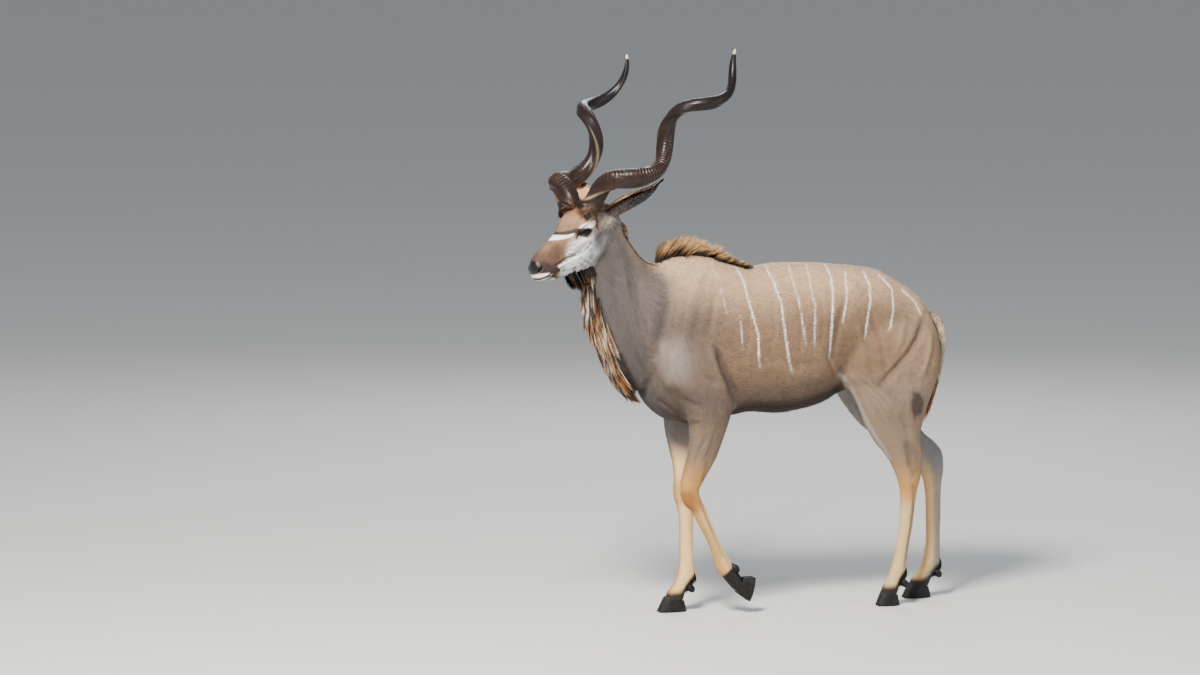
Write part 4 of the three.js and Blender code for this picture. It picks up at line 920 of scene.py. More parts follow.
def body_colour(places, form, t, angle):
    """Colour of the coat at points in mm: markings are set in the near side's picture and mirrored, with painted light
    along the top, painted shade underneath and over the neck, and a painted highlight on the shoulder.
    """
    pic = to_picture(mirrored(places, form, t))
    x, y, z = places.T
    up = np.cos(angle)
    on_trunk, on_neck = form == TRUNK_ID, form == NECK_ID
    wave = 0.5 + 0.5 * np.sin(x * 0.013 + 2 * np.sin(z * 0.011) + y * 0.017)
    colour = np.tile(TINTS["flank"], (len(places), 1))
    colour = blend(colour, "shoulder", step(-160, -420, x) * 0.85)
    colour = blend(colour, "rump", step(330, 560, x) * 0.8)
    torso = (form != HEAD_ID) & (form != TAIL_ID)
    # painted light: the top of the trunk lighter, as where light falls on it
    colour = blend(colour, "back", step(0.2, 0.9, trunk_up(x, z)) * torso * step(-660, -540, x) * 0.9)
    # painted shade: the trunk darker towards the belly
    colour = blend(colour, "belly", step(1010, 840, z) * on_trunk * 0.9)
    # painted highlight on the swell at the shoulder's point
    colour = blend(colour, "shoulder_highlight", patch(pic, SHOULDER_HIGHLIGHT, 15) * (form != HEAD_ID) * 0.42)
    blotch = np.sin(x * 0.051 + 2.2 * np.sin(z * 0.037 + y * 0.02)) \
        * np.sin(z * 0.067 - x * 0.023 + 1.7 * np.sin(x * 0.031))
    colour = colour * (0.95 + 0.1 * wave + 0.055 * blotch)[:, None]
    under = on_trunk * step(-0.64, -0.86, up) * step(-330, -220, x) * step(420, 300, x)
    colour = blend(colour, "midline", under * 0.92)
    # the neck's greyer coat, darkened further as painted shade
    colour = blend(colour, "neck", np.isin(form, CHEST) * patch(pic, NECK_PATCH, 11) * 0.9)
    # painted light along the top of the neck
    colour = blend(colour, "back", on_neck * step(0.5, 0.95, up) * step(-560, -620, x) * 0.25)
    colour = blend(colour, "fringe_skin", on_neck * step(-0.8, -0.96, up) * 0.9)
    mine = (on_trunk | (form >= FL_ID) | (form == TAIL_ID)) & (z > 820)
    for line, width, strength in STRIPES:
        share = np.zeros(len(places))
        gap, along = line_distance(pic[mine], line)
        gap = gap * 1000 / PIXELS_PER_METRE
        fade = np.minimum(1, 7 * np.minimum(along + 0.12, 1 - along))
        ragged = width * (0.74 + 0.14 * np.sin(pic[mine, 1] * 0.5 + width * 7) * np.sin(pic[mine, 1] * 0.21))
        share[mine] = strength * fade * (1 - step(ragged * 0.35, ragged * 1.25, gap))
        colour = blend(colour, "stripe", share)
    spine = (np.abs(y) < 11) & on_trunk & (up > 0.6)
    colour = blend(colour, "spine", spine * (x > -130) * 0.7)
    colour = blend(colour, "crest", spine * (x < -110) * 0.9)
    return colour, pic


def leg_colour(colour, z, form, angle, pic):
    """Colours of the legs, with painted shade on the far legs' inner sides and beside the tendons, then the markings
    of the body and legs, among them painted shade in grooves and hollows.
    """
    front, side = np.cos(angle), np.sin(angle)     # side is above zero on the outer side
    for number in (FL_ID, FR_ID, HL_ID, HR_ID):
        hind, planted = number >= HL_ID, number != FL_ID
        high, low = (630, 430) if hind else (660, 510)
        shares = [
            ("thigh" if hind else "shoulder", step(1000, 840, z) * 0.8),
            ("leg_dark", step(860, 720, z) * step(430, 560, z) * step(-0.6, 0.6, side) * 0.75),
            ("leg", step(high, low, z) * 0.9),
            ("leg_pale", step(0.1, -0.7, side) * step(800, 600, z) * 0.9),
        ]
        if hind:
            shares += [("leg_pale", step(430, 330, z) * 0.3),
                       ("leg_grey", step(460, 380, z) * step(-0.6, 0.2, side) * 0.75)]
        else:
            shares += [("leg_pale", step(470, 380, z) * (0.15 + 0.7 * step(0.35, -0.35, front)))]
        # painted shade over the inner sides of the far legs
        if number == FR_ID:
            shares += [("far_leg_shade", step(560, 700, z) * step(0.3, -0.4, side) * 0.85)]
        if number == HR_ID:
            shares += [("far_leg_shade", step(0.2, -0.5, side) * step(0.4, -0.3, front) * 0.85),
                       ("far_leg_shade", step(420, 600, z) * step(0.3, -0.4, side) * 0.85)]
        # painted shade in the groove beside the lower tendon, on the outer side
        tendon_shade = step(-0.2, -0.42, front) * step(-0.85, -0.6, front) * step(460, 380, z) * step(120, 170, z)
        shares += [("shade", tendon_shade * (side > 0) * 0.4),
                   ("pastern", step(96, 66, z) * planted * 0.98),
                   ("dark", step(0.15, 0.6, -front) * step(150, 118, z) * planted * 0.95)]
        for tint, share in shares:
            colour = blend(colour, tint, (form == number) * share)
    thigh = ((form == HL_ID) | (form == TRUNK_ID)) * (side > 0)
    colour = blend(colour, "white", thigh * band(pic, THIGH_EDGE, 0.6, 3.2) * 0.14)
    for forms, marks in BODY_MARKS:
        colour = lay(colour, pic, marks, np.isin(form, forms))
    return colour


def add_attribute(mesh, name, values):
    """Keeps a colour or a single value at each point of a mesh."""
    values = np.asarray(values, np.float32)
    if values.ndim > 1:
        values = np.concatenate([values, np.ones((len(values), 1), np.float32)], 1)
        mesh.attributes.new(name, "FLOAT_COLOR", "POINT").data.foreach_set("color", values.ravel())
    else:
        mesh.attributes.new(name, "FLOAT", "POINT").data.foreach_set("value", values)


def head_colour(colour, places, form, pic):
    """Colours of the head: ground, markings, the lip line, painted shade in the cheek's creases and folds, under the
    brow and behind the cheek, eye rim.
    """
    mine = form == HEAD_ID
    if not mine.any():
        return colour
    local = to_head(mirrored(places[mine], form[mine], None))
    p, (px, py) = pic[mine], pic[mine].T
    s, v, w = local.T
    c = np.tile(TINTS["muzzle"], (len(p), 1))
    mottle = (1.6 * np.sin(px * 1.7 + 2 * np.sin(py * 1.1)) * np.sin(py * 1.5 + px * 0.6))[:, None]
    smoke = np.sin(px * 0.42 + 1.8 * np.sin(py * 0.37)) * np.sin(py * 0.5 - px * 0.21) \
        + 0.3 * np.sin(px * 1.3 + py * 0.8)
    brushed = step(-0.5, 0.9, np.sin((py + px * 0.5) * 1.5 + 1.2 * np.sin(px * 0.5)))
    brow = [(552, 247), (560, 246), (566, 252), (562, 262), (552, 266), (549, 256)]
    before = [(564, 243), (576, 242), (582, 246), (576, 256), (566, 263), (560, 262)]
    jaw = [(591, 232), (603, 230), (604, 262), (590, 276), (586, 262), (594, 246)]
    for tint, share in (
            ("forehead", step(190, 110, s) * step(-80, -36, v)),
            ("muzzle_dark", step(205, 292, s) * 0.92),
            ("muzzle_dark", step(150, 250, s) * step(-30, -80, v) * 0.45),
            ("muzzle_dark", patch(p + mottle, brow, 4.0) * 0.7),
            ("muzzle_dark", band(p, [(544, 268), (552, 268.5), (560, 267)], 1.8, 4.0) * 0.75),
            ("temple", step(40, 0, s) * step(-110, -60, v) * 0.5),
            ("cheek", patch(p + mottle * 0.7, CHEEK, 3.2) * 0.95),
            ("cheek_dark", patch(p, CHEEK, 2.5) * step(-0.1, 1.0, smoke) * 0.5),
            ("muzzle", patch(p, before, 4.0) * brushed * 0.5),
            # painted shade on the rear of the cheek, behind its white
            ("cheek_dark", patch(p, jaw, 4.0) * 0.8),
            ("neck", step(-10, -70, s) * step(-90, -130, v) * 0.8),
            ("cheek", step(-120, -160, v) * step(200, 150, s) * 0.5),
            ("ear_base", step(17, 9, np.hypot(px - 611, py - 222)) * step(10, -20, s))):
        c = blend(c, tint, share)
    c = lay(c, p, FACE_MARKS)
    c = blend(c, "white", step(-108, -116, v) * step(262, 276, s) * 0.7)
    c = lay(c, p, CREASE_MARKS)
    brush = np.sin(w * 0.5 + 1.4 * np.sin(s * 0.045)) * np.sin(w * 0.19 - s * 0.06)
    c = c * (1 + 0.16 * brush * step(-110, -70, v))[:, None]
    c = blend(c, "horn_fur", step(13, 7, np.hypot((px - 588), (py - 211) * 1.3)) * step(-60, -20, v) * 0.7)
    for x, y in ((570, 209), (576, 213), (581, 217)):
        c = blend(c, "orange", step(5, 1.5, np.hypot(px - x, py - y)) * 0.55)
    # painted shade over the cheek's rear and the neck below the ear
    c = blend(c, "neck", patch(p, SHADE_BEHIND_CHEEK, 4.5) * 0.85)
    # painted shade in the fold along the lower cheek, mottled
    fold_shade = band(p, [(566, 272), (575, 271), (586, 265), (594, 256)], 1.6, 3.4)
    c = blend(c, "cheek_dark", fold_shade * step(-0.3, 0.8, smoke) * 0.6)
    a, b, out = eye_local(local)
    opening = eye_opening(a, b) + 0.8 * np.sin(a * 0.3) - 1.2 * (b > 0)
    c = blend(c, "pad", (1 - step(4.6, 7.8, opening)) * (out > -25) * (np.hypot(a, b) < 42))
    tear, _ = line_distance(np.stack([a, b], 1), [(-EYE_HALF, -1), (-EYE_HALF - 10, -5), (-EYE_HALF - 17, -10)])
    c = blend(c, "pad", (1 - step(2.4, 5, tear)) * (out > -28))
    colour = colour.copy()
    colour[mine] = c
    return colour


def wetness(places, form, pic):
    """How wet the skin looks: eye rims, nose pad and lips."""
    wet = np.zeros(len(places))
    mine = form == HEAD_ID
    local, p = to_head(mirrored(places[mine], form[mine], None)), pic[mine]
    a, b, out = eye_local(local)
    rim = (1 - step(0.5, 3, eye_opening(a, b))) * (out > -25) * (np.hypot(a, b) < 40)
    lips = band(p, LIP_LINE[:3], 0.4, 0.8) * (local[:, 0] > 250)
    wet[mine] = np.maximum(np.maximum(rim, patch(p, NOSE_PAD, 0.9)), lips)
    return wet


def full_colour(places, form, t, angle):
    """Colour of the coat at points on the forms, painted light and shade included, and the points' places in the
    picture.
    """
    colour, pic = body_colour(places, form, t, angle)
    colour = leg_colour(colour, places[:, 2], form, angle, pic)
    return head_colour(colour, places, form, pic), pic


# ---------------------------------------------------------------- materials
def new_material(name, roughness, colour=None, *, specular, sheen=0.0):
    """A material of one colour, or of the tints kept at the mesh's points."""
    material = bpy.data.materials.new(name)
    material.use_nodes = True
    shader = material.node_tree.nodes["Principled BSDF"]
    shader.inputs["Roughness"].default_value = roughness
    shader.inputs["Specular IOR Level"].default_value = specular
    if sheen:
        shader.inputs["Sheen Weight"].default_value = sheen
        shader.inputs["Sheen Roughness"].default_value = 0.5
    if colour is not None:
        shader.inputs["Base Color"].default_value = (*linear(colour), 1)
    else:
        reader = material.node_tree.nodes.new("ShaderNodeAttribute")
        reader.attribute_name = "tint"
        material.node_tree.links.new(reader.outputs["Color"], shader.inputs["Base Color"])
    return material


class Shade:
    """Short names for the shader nodes of a material."""

    def __init__(self, material):
        self.nodes, self.links = material.node_tree.nodes, material.node_tree.links
        self.shader = self.nodes["Principled BSDF"]

    def node(self, kind, **inputs):
        node = self.nodes.new("ShaderNode" + kind)
        for name, value in inputs.items():
            socket = node.inputs[name.replace("_", " ")]
            if isinstance(value, bpy.types.NodeSocket):
                self.links.new(value, socket)
            else:
                socket.default_value = value
        return node

    def place(self, scale):
        where = self.node("TexCoord").outputs["Object"]
        return self.node("Mapping", Vector=where, Scale=scale).outputs["Vector"]

    def noise(self, size, detail, scale=(1, 1, 1)):
        node = self.node("TexNoise", Vector=self.place(scale), Scale=size, Detail=detail, Roughness=0.6)
        return node.outputs["Fac"]

    def ramp(self, value, stops):
        node = self.node("ValToRGB", Fac=value)
        for element, (at, colour) in zip(node.color_ramp.elements, stops):
            element.position = at
            element.color = (*colour, 1)
        return node.outputs["Color"]

    def tinted(self, colour, grey):
        node = self.node("Mix")
        node.data_type, node.blend_type = "RGBA", "MULTIPLY"
        node.inputs[0].default_value = 1.0
        self.links.new(colour, node.inputs[6])
        self.links.new(grey, node.inputs[7])
        return node.outputs[2]

    def bump(self, height, strength, distance, below=None):
        node = self.node("Bump", Height=height, Strength=strength, Distance=distance)
        if below is not None:
            self.links.new(below, node.inputs["Normal"])
        return node.outputs["Normal"]


def skin_material():
    """The points' tints with a little grain, shiny where wet."""
    material = new_material("coat_skin", 0.72, specular=0.3, sheen=0.06)
    shade = Shade(material)
    tint = shade.shader.inputs["Base Color"].links[0].from_socket
    fine = shade.noise(420.0, 2.0)
    broad = shade.noise(34.0, 4.0)
    grey = shade.ramp(fine, [(0.3, (0.80, 0.80, 0.80)), (0.7, (1.12, 1.12, 1.12))])
    wide = shade.ramp(broad, [(0.3, (0.90, 0.89, 0.88)), (0.7, (1.07, 1.07, 1.08))])
    colour = shade.tinted(shade.tinted(tint, grey), wide)
    shade.links.new(colour, shade.shader.inputs["Base Color"])
    wet = shade.node("Attribute")
    wet.attribute_name = "wet"
    rough = shade.ramp(wet.outputs["Fac"], [(0.0, (0.74,) * 3), (1.0, (0.3,) * 3)])
    shade.links.new(rough, shade.shader.inputs["Roughness"])
    normal = shade.bump(shade.noise(260.0, 3.0), 0.35, 0.002)
    normal = shade.bump(shade.noise(900.0, 2.0, (1, 1, 0.35)), 0.3, 0.0008, normal)
    shade.links.new(normal, shade.shader.inputs["Normal"])
    return material


# ---------------------------------------------------------------- the coat: tufts and strands of solid mesh
class Surface:
    """A skin with values at its points, to scatter roots over."""

    def __init__(self, points, triangles, **values):
        self.triangles = triangles
        self.values = dict(values, place=points)
        a, b, c = (points[triangles[:, k]] for k in range(3))
        self.area = np.linalg.norm(np.cross(b - a, c - a), axis=1) / 2

    def scatter(self, count, weight):
        share = self.area * weight[self.triangles].min(1)
        pick = RNG.choice(len(share), count, p=share / share.sum())
        r = np.sqrt(RNG.random(count))
        q = RNG.random(count)
        mix = np.stack([1 - r, r * (1 - q), r * q], 1)
        corner = self.triangles[pick]
        out = {}
        for name, value in self.values.items():
            if name == "form":
                out[name] = value[corner[:, 0]]
                continue
            part = value[corner]
            out[name] = (part * (mix[..., None] if part.ndim == 3 else mix)).sum(1)
        return out


def unit(v):
    return v / np.maximum(np.linalg.norm(v, axis=-1, keepdims=True), 1e-9)


UV_HALF = 0.0015                       # half size of a blade's own spot in the unwrap


def blades(root, start, end, length, width, wide, colour, tip_colour, uv, rings, thick=0.3, sink=1.5, dark=0.35,
           face=None, soft=0.8):
    """Closed three-sided blades. Paths bend from start to end, as the CAD's locks do. Returns arrays for one mesh.

    With face given, blades are shaded mostly as the skin they lie on, which is how flat hair takes the light."""
    count = len(root)
    stops = np.linspace(0, 1, rings + 1)[:-1]
    shares = np.clip(1.0 - 0.12 * stops - 0.62 * stops ** 3, 0.1, 1)
    start, end = unit(start), unit(end)
    points = np.empty((count, 3 * rings + 1, 3))
    tint = np.empty((count, 3 * rings + 1, 3))
    uvs = np.empty((count, 3 * rings + 1, 2))
    shading = np.empty((count, 3 * rings + 1, 3))
    length, width = length[:, None], width[:, None]
    for k, (u, share) in enumerate(zip(stops, shares)):
        centre = root + length * (start * (u - u * u / 2) + end * (u * u / 2))
        if k == 0:
            centre = centre - start * sink
        heading = unit(start * (1 - u) + end * u)
        across = unit(wide - heading * (wide * heading).sum(1, keepdims=True))
        rise = np.cross(across, heading)
        points[:, 3 * k] = centre + across * width * share / 2
        points[:, 3 * k + 1] = centre - across * width * share / 2
        points[:, 3 * k + 2] = centre + rise * width * share * thick
        base = rise if face is None else face
        for m, own in enumerate((across, -across, rise)):
            shading[:, 3 * k + m] = base * soft + own * (1 - soft)
        fade = min(1, max(0, (u - dark) / (1 - dark + 1e-6)))
        shade = colour * (1 - fade) + tip_colour * fade
        tint[:, 3 * k:3 * k + 3] = shade[:, None] * (0.9 + 0.12 * u)
        for m, cross in enumerate((UV_HALF, -UV_HALF, 0.0)):
            uvs[:, 3 * k + m] = uv + np.array([(2 * u - 1) * UV_HALF, cross])
    points[:, -1] = root + length * (start + end) / 2
    tint[:, -1] = tip_colour * 1.04
    uvs[:, -1] = uv + np.array([UV_HALF, 0.0])
    shading[:, -1] = base
    faces = [(0, 2, 1)]
    for k in range(rings - 1):
        for a, b in ((0, 2), (2, 1), (1, 0)):
            p, q = 3 * k + a, 3 * k + b
            faces += [(p, p + 3, q), (q, p + 3, q + 3)]
    low, tip = 3 * (rings - 1), 3 * rings
    faces += [(low, tip, low + 2), (low + 2, tip, low + 1), (low + 1, tip, low)]
    faces = np.array(faces)[None] + (np.arange(count) * (3 * rings + 1))[:, None, None]
    return (points.reshape(-1, 3), faces.reshape(-1, 3), tint.reshape(-1, 3), np.clip(uvs, 0, 1).reshape(-1, 2),
            unit(shading).reshape(-1, 3))


def coat_object(name, parts, material, slot="hide_body"):
    """One piece of hair out of the arrays of blades."""
    sizes = np.cumsum([0] + [len(part[0]) for part in parts])
    points, faces, tints, uvs, shading = (np.concatenate(column) for column in zip(*(
        (p, f + base, c, q, n) for (p, f, c, q, n), base in zip(parts, sizes))))
    mesh = bpy.data.meshes.new(name)
    mesh.vertices.add(len(points))
    mesh.vertices.foreach_set("co", world(points).astype(np.float32).ravel())
    mesh.loops.add(faces.size)
    mesh.loops.foreach_set("vertex_index", faces.astype(np.int32).ravel())
    mesh.polygons.add(len(faces))
    mesh.polygons.foreach_set("loop_start", np.arange(0, faces.size, 3, dtype=np.int32))
    mesh.update(calc_edges=True)
    add_attribute(mesh, "tint", np.clip(tints, 0, 1))
    layer = mesh.uv_layers.new(name="OFBake")
    layer.data.foreach_set("uv", uvs[faces.ravel()].astype(np.float32).ravel())
    mesh.shade_smooth()
    mesh.normals_split_custom_set_from_vertices(shading.astype(np.float32))
    obj = bpy.data.objects.new(name, mesh)
    bpy.context.scene.collection.objects.link(obj)
    dress(obj, material, slot)
    print(name, len(faces), "triangles", flush=True)


# Each form's rectangle of the unwrap: u low, v low, u high, v high
ATLAS = [(0.01, 0.51, 0.49, 0.99), (0.51, 0.76, 0.74, 0.99), (0.51, 0.51, 0.99, 0.74), (0.76, 0.76, 0.87, 0.99),
         (0.01, 0.26, 0.24, 0.49), (0.26, 0.26, 0.49, 0.49), (0.01, 0.01, 0.24, 0.24), (0.26, 0.01, 0.49, 0.24)]
EAR_ATLAS = [(0.51, 0.26, 0.74, 0.49), (0.76, 0.26, 0.99, 0.49)]


def in_box(box, u, v):
    """A place in a rectangle of the unwrap, from shares of its width and height."""
    return np.stack([box[0] + (box[2] - box[0]) * u, box[1] + (box[3] - box[1]) * v], 1)


def atlas_uv(form, t, angle):
    return in_box(np.array(ATLAS)[form].T, np.clip(t, 0, 1), (angle / (2 * np.pi)) % 1.0)


def tufts(name, surface, count, weight, length, width, lift, material, slot):
    """Short flat tufts over a part of the skin, lying along it."""
    got = surface.scatter(count, weight)
    root, out = got["place"], unit(got["normal"])
    lie = unit(got["lie"] - out * (got["lie"] * out).sum(1, keepdims=True))
    swirl = RNG.normal(0, 0.10, count)[:, None]
    lie = unit(lie + np.cross(out, lie) * swirl)
    side = np.cross(out, lie)
    angle = np.arctan2(got["sin"], got["cos"])
    grow = got["length"] * np.clip(RNG.normal(1, 0.16, count), 0.6, 1.4)
    colour, _ = full_colour(root + lie * (length * grow * 0.5)[:, None], got["form"], got["t"], angle)
    x, z = root[:, 0], root[:, 2]
    patchy = np.sin(x * 0.11 + 3 * np.sin(z * 0.05)) * np.sin(z * 0.16 + 2 * np.sin(x * 0.043))
    colour = colour * np.clip(RNG.normal(1, 0.14, (count, 1)) + 0.06 * patchy[:, None], 0.5, 1.5)
    rise = lift * np.clip(RNG.normal(1, 0.3, count), 0.3, 1.9)[:, None]
    start = lie * np.cos(rise) + out * np.sin(rise)
    end = lie * np.cos(rise * 0.25) + out * np.sin(rise * 0.25)
    wide = side + out * RNG.normal(0, 0.12, (count, 1))
    part = blades(root, start, end, length * grow, width * (0.6 + 0.4 * grow), wide, colour, colour * 1.12,
                  atlas_uv(got["form"], got["t"], angle), 1, 0.16, 0.8, 0.0, face=out, soft=0.86)
    coat_object(name, [part], material, slot)


# ---------------------------------------------------------------- horns
def mix(low, high, share):
    return low * (1 - share) + high * share


def horn_frame(side):
    """The horn's straight axis and two ways across it."""
    back, out = (math.radians(v) for v in HORNS[side][6:8])
    axis = head_forward * (-math.sin(back) * math.cos(out)) + head_up * math.cos(back) * math.cos(out) \
        + head_left * side * math.sin(out)
    first = head_forward * math.cos(back) + head_up * math.sin(back)
    return axis, first, np.cross(first, axis) * side


def horn_centre(side, t):
    """Middle of the horn at t: a spiral that opens from the base and narrows to the tip."""
    straight, turns, spiral, narrowing, opening, bow, _, _, phase = HORNS[side]
    axis, first, second = horn_frame(side)
    t = np.asarray(t, float)[..., None]
    angle = math.radians(phase) - 2 * np.pi * turns * t
    radius = spiral * np.clip(t / opening, 0, 1) * (1 - narrowing * t)
    base = on_head(0, 6, side * HORN_BASE_HALF)
    middle = base + axis * t * straight + head_left * (side * bow * 4) * t * (1 - t)
    return middle + first * radius * np.cos(angle) + second * radius * np.sin(angle)


RIDGE_GAP = 13.5                       # mean distance of the horns' transverse ridges, in mm
HORN_END = 1.0006                      # where the surface ends, past the centre line's end at 1


def horn_object(name, side, material):
    """A horn: keeled section, worn cross ridges on the lower half, smooth pale tip."""
    sides = 44
    turns, phase = HORNS[side][1], HORNS[side][8]
    _, first, second = horn_frame(side)
    t = np.concatenate([np.linspace(-0.022, 0.62, 480), np.linspace(0.6215, 1.0, 110)])
    rings = len(t)
    centre = horn_centre(side, t)
    heading = unit(horn_centre(side, t + 0.002) - horn_centre(side, t - 0.002))
    lead = math.radians(phase) - 2 * np.pi * turns * t - math.radians(80)
    keel = first * np.cos(lead)[:, None] + second * np.sin(lead)[:, None]
    keel = unit(keel - heading * (keel * heading).sum(1, keepdims=True))
    across = np.cross(heading, keel)
    share = np.clip(t, 0, 1)
    taper = np.maximum(0.022, (1 - share) ** 0.46 * (1 - 0.06 * np.sin(np.pi * np.minimum(share / 0.9, 1))))
    taper = taper * np.where(t > 0.992, np.sqrt(np.clip((HORN_END - t) / 0.0086, 0.0, 1)), 1)
    arc = np.concatenate([[0], np.cumsum(np.linalg.norm(np.diff(centre, axis=0), axis=1))])
    angle = circle(sides)[None, :]
    along, tt = arc[:, None], np.broadcast_to(t[:, None], (rings, sides))
    ridge = 0.34 * np.maximum(0, np.cos(angle)) ** 12 + 0.10 * np.maximum(0, -np.cos(angle)) ** 4
    # transverse ridges: worn waves round the lower half, weakest on the keel, of uneven spacing
    wave_at = arc * 2 * np.pi / RIDGE_GAP + 1.6 * np.sin(arc / 47.0) + 0.9 * np.sin(arc / 19.0 + side)
    wave = np.sin(wave_at[:, None] + 0.9 * np.sin(angle + 0.6) + 0.6 * np.sin(3 * angle + along / 40))
    wave = np.sign(wave) * np.abs(wave) ** 0.8
    patchy = np.clip(0.55 + 0.5 * np.sin(along / 23 + 2.6 * np.sin(angle) + side), 0.08, 1)
    fade = step(0.62, 0.24, tt) * (0.12 + 0.88 * step(0.5, -0.9, np.cos(angle))) * patchy * step(0.03, 0.10, tt)
    grain = 0.010 * np.sin(11 * angle + 2 * np.sin(along / 90)) * step(0.95, 0.6, tt)
    swirl = 0.032 * np.sin(4 * angle + along / 70) * step(0.95, 0.3, tt)
    radius = HORN_THICK * taper[:, None] * (0.95 + ridge + 0.046 * wave * fade + grain + swirl)
    base = step(0.03, -0.01, tt)
    radius = radius * (1 + base * (0.02 + 0.03 * np.sin(7 * angle + 1) * np.sin(along / 5)))
    points = centre[:, None] + keel[:, None] * (radius * np.cos(angle))[..., None] \
        + across[:, None] * (radius * np.sin(angle))[..., None]
    tip = rings * sides
    points = np.concatenate([points.reshape(-1, 3), [horn_centre(side, HORN_END)]])
    faces = tube_faces(rings, sides)
    faces += [[(rings - 1) * sides + k, (rings - 1) * sides + (k + 1) % sides, tip] for k in range(sides)]
    faces.append(list(range(sides))[::-1])
    # colour: brown-black, browner towards the base, pale along the worn keel, lighter on the ridges as wear and
    # painted highlight and darker between them as painted shade, ivory at the tip
    c = mix(TINTS["horn_black"], TINTS["horn_brown"], step(0.85, 0.25, tt)[..., None])
    c = mix(c, TINTS["horn_red"], step(0.07, -0.01, tt)[..., None])
    # the ridges' crests lighter: partly wear, partly painted highlight
    c = mix(c, TINTS["horn_wear_and_highlight"], (np.clip(wave, 0, 1) ** 2 * fade)[..., None] * 0.3)
    # painted shade between the ridges
    c = c * (1 - (np.clip(-wave, 0, 1) * fade)[..., None] * 0.45)
    worn = (np.maximum(0, np.cos(angle - 0.1)) ** 160 * (0.35 + 0.65 * np.abs(np.sin(along / 83 + side))))
    worn = (worn * step(0.0, 0.06, tt) * step(0.5, 0.3, tt))[..., None] * 0.85
    streak = np.sin(13 * angle + 1.5 * np.sin(along / 60)) * np.sin(7 * angle - along / 120)
    c = c * (1 + 0.25 * streak * step(0.9, 0.4, tt))[..., None]
    c = mix(mix(c, TINTS["horn_pale"], worn), TINTS["horn_tip"], step(0.975, 0.987, tt)[..., None])
    c = np.concatenate([c.reshape(-1, 3), TINTS["horn_tip"][None]])
    obj = new_object(name, world(points), faces)
    add_attribute(obj.data, "tint", c)
    dress(obj, material, "horn", name)


def horn_material():
    material = new_material("horn", 0.36, specular=0.26)
    shade = Shade(material)
    tint = shade.shader.inputs["Base Color"].links[0].from_socket
    streak = shade.noise(95.0, 5.0)
    tone = shade.ramp(streak, [(0.3, (0.72, 0.72, 0.72)), (0.7, (1.3, 1.25, 1.2))])
    shade.links.new(shade.tinted(tint, tone), shade.shader.inputs["Base Color"])
    shade.links.new(shade.ramp(shade.noise(40.0, 3.0), [(0.3, (0.28,) * 3), (0.75, (0.5,) * 3)]),
                    shade.shader.inputs["Roughness"])
    shade.links.new(shade.bump(shade.noise(300.0, 4.0), 0.25, 0.001), shade.shader.inputs["Normal"])
    return material


def horn_fur(material):
    """Rough brown fur growing up round the foot of each horn."""
    parts = []
    for side in (1, -1):
        count, clumps = 1900, 100
        _, c, n, _ = clumped(count, clumps)
        t = np.clip(-0.020 + 0.050 * RNG.random(count) ** 1.3 + 0.005 * c[:, 0], -0.022, 0.04)
        angle = RNG.uniform(0, 2 * np.pi, count)
        centre = horn_centre(side, t)
        heading = unit(horn_centre(side, t + 0.004) - horn_centre(side, t - 0.004))
        first = unit(np.cross(heading, head_left + 0 * heading))
        out = unit(first * np.cos(angle)[:, None] + np.cross(heading, first) * np.sin(angle)[:, None])
        root = centre + out * (HORN_THICK * 0.90)
        hang = (np.arange(count) % 5 == 0)[:, None]
        t = np.where(hang[:, 0], RNG.uniform(-0.018, 0.004, count), t)
        start = unit(heading * 0.9 + out * (0.20 + 0.06 * c[:, 1:2]) + np.cross(heading, out) * n[:, 1:2] * 0.25)
        end = unit(heading + out * (0.02 + 0.05 * c[:, 2:3]) + np.cross(heading, out) * c[:, 3:4] * 0.2)
        start = np.where(hang, unit(out * 0.35 - heading), start)
        end = np.where(hang, unit(out * 0.02 - heading), end)
        up = step(-0.022, 0.02, t)[:, None]
        dark = mix(TINTS["horn_fur_low"], TINTS["horn_fur_high"], up) * np.clip(1 + 0.3 * n[:, :1], 0.4, 1.7)
        tip = dark * np.clip(1.25 + 0.35 * c[:, 4:5] + 0.2 * n[:, 2:3], 0.4, 2.0)
        length = 19 * np.clip(1 + 0.2 * c[:, 5] + 0.2 * n[:, 3], 0.4, 1.5)
        uv = atlas_uv(np.full(count, HEAD_ID), 0.26 + t, angle)
        parts.append(blades(root, start, end, length, RNG.uniform(1.3, 2.2, count), np.cross(heading, out), dark, tip,
                            uv, 2, sink=4, dark=0.2, face=out))
    coat_object("horn_base_fur", parts, material, "hide_head")


# ---------------------------------------------------------------- ears
EAR_SUNK = 36                          # depth of the ear's foot in the head, in mm


def ear_frame(side):
    """The ear's long way, the way its opening faces, and the way across."""
    ways = np.stack([head_forward, head_up, head_left])
    along = unit(np.array(EARS[side][0]) @ ways)
    open_way = np.array(EARS[side][1]) @ ways
    open_way = unit(open_way - along * (open_way @ along))
    return along, open_way, np.cross(along, open_way)


def ear_place(side, t, turn, inset):
    """Points of the ear: t from foot to tip, turn from rim to rim, inset from its outer face."""
    along, open_way, across = ear_frame(side)
    root = on_head(*EARS[side][2]) - along * EAR_SUNK
    t, turn = np.broadcast_arrays(np.asarray(t, float), np.asarray(turn, float))
    hump = np.sin(np.pi * np.clip(t * 1.18 - 0.1, 0, 1)) ** 0.8
    half = (EAR_WIDTH / 2) * (0.36 + 0.64 * hump) * (1 - np.clip((t - 0.6) / 0.4, 0, 1) ** 2 * 0.86)
    curl = np.radians(166 - 105 * np.clip((t - 0.05) / 0.8, 0, 1) ** 0.7)
    inset = np.broadcast_to(inset, t.shape)
    radius = np.maximum((half - inset * 0.35) / np.maximum(curl, 1), 2.5) * 1.45
    angle = curl * turn
    flat = EAR_LENGTH * t
    rise = -(radius - inset) * np.cos(angle) + radius * 0.4 - EARS[side][3] * t * t
    return root + along * flat[..., None] + across * ((radius - inset * 0.5) * np.sin(angle))[..., None] \
        + open_way * rise[..., None]


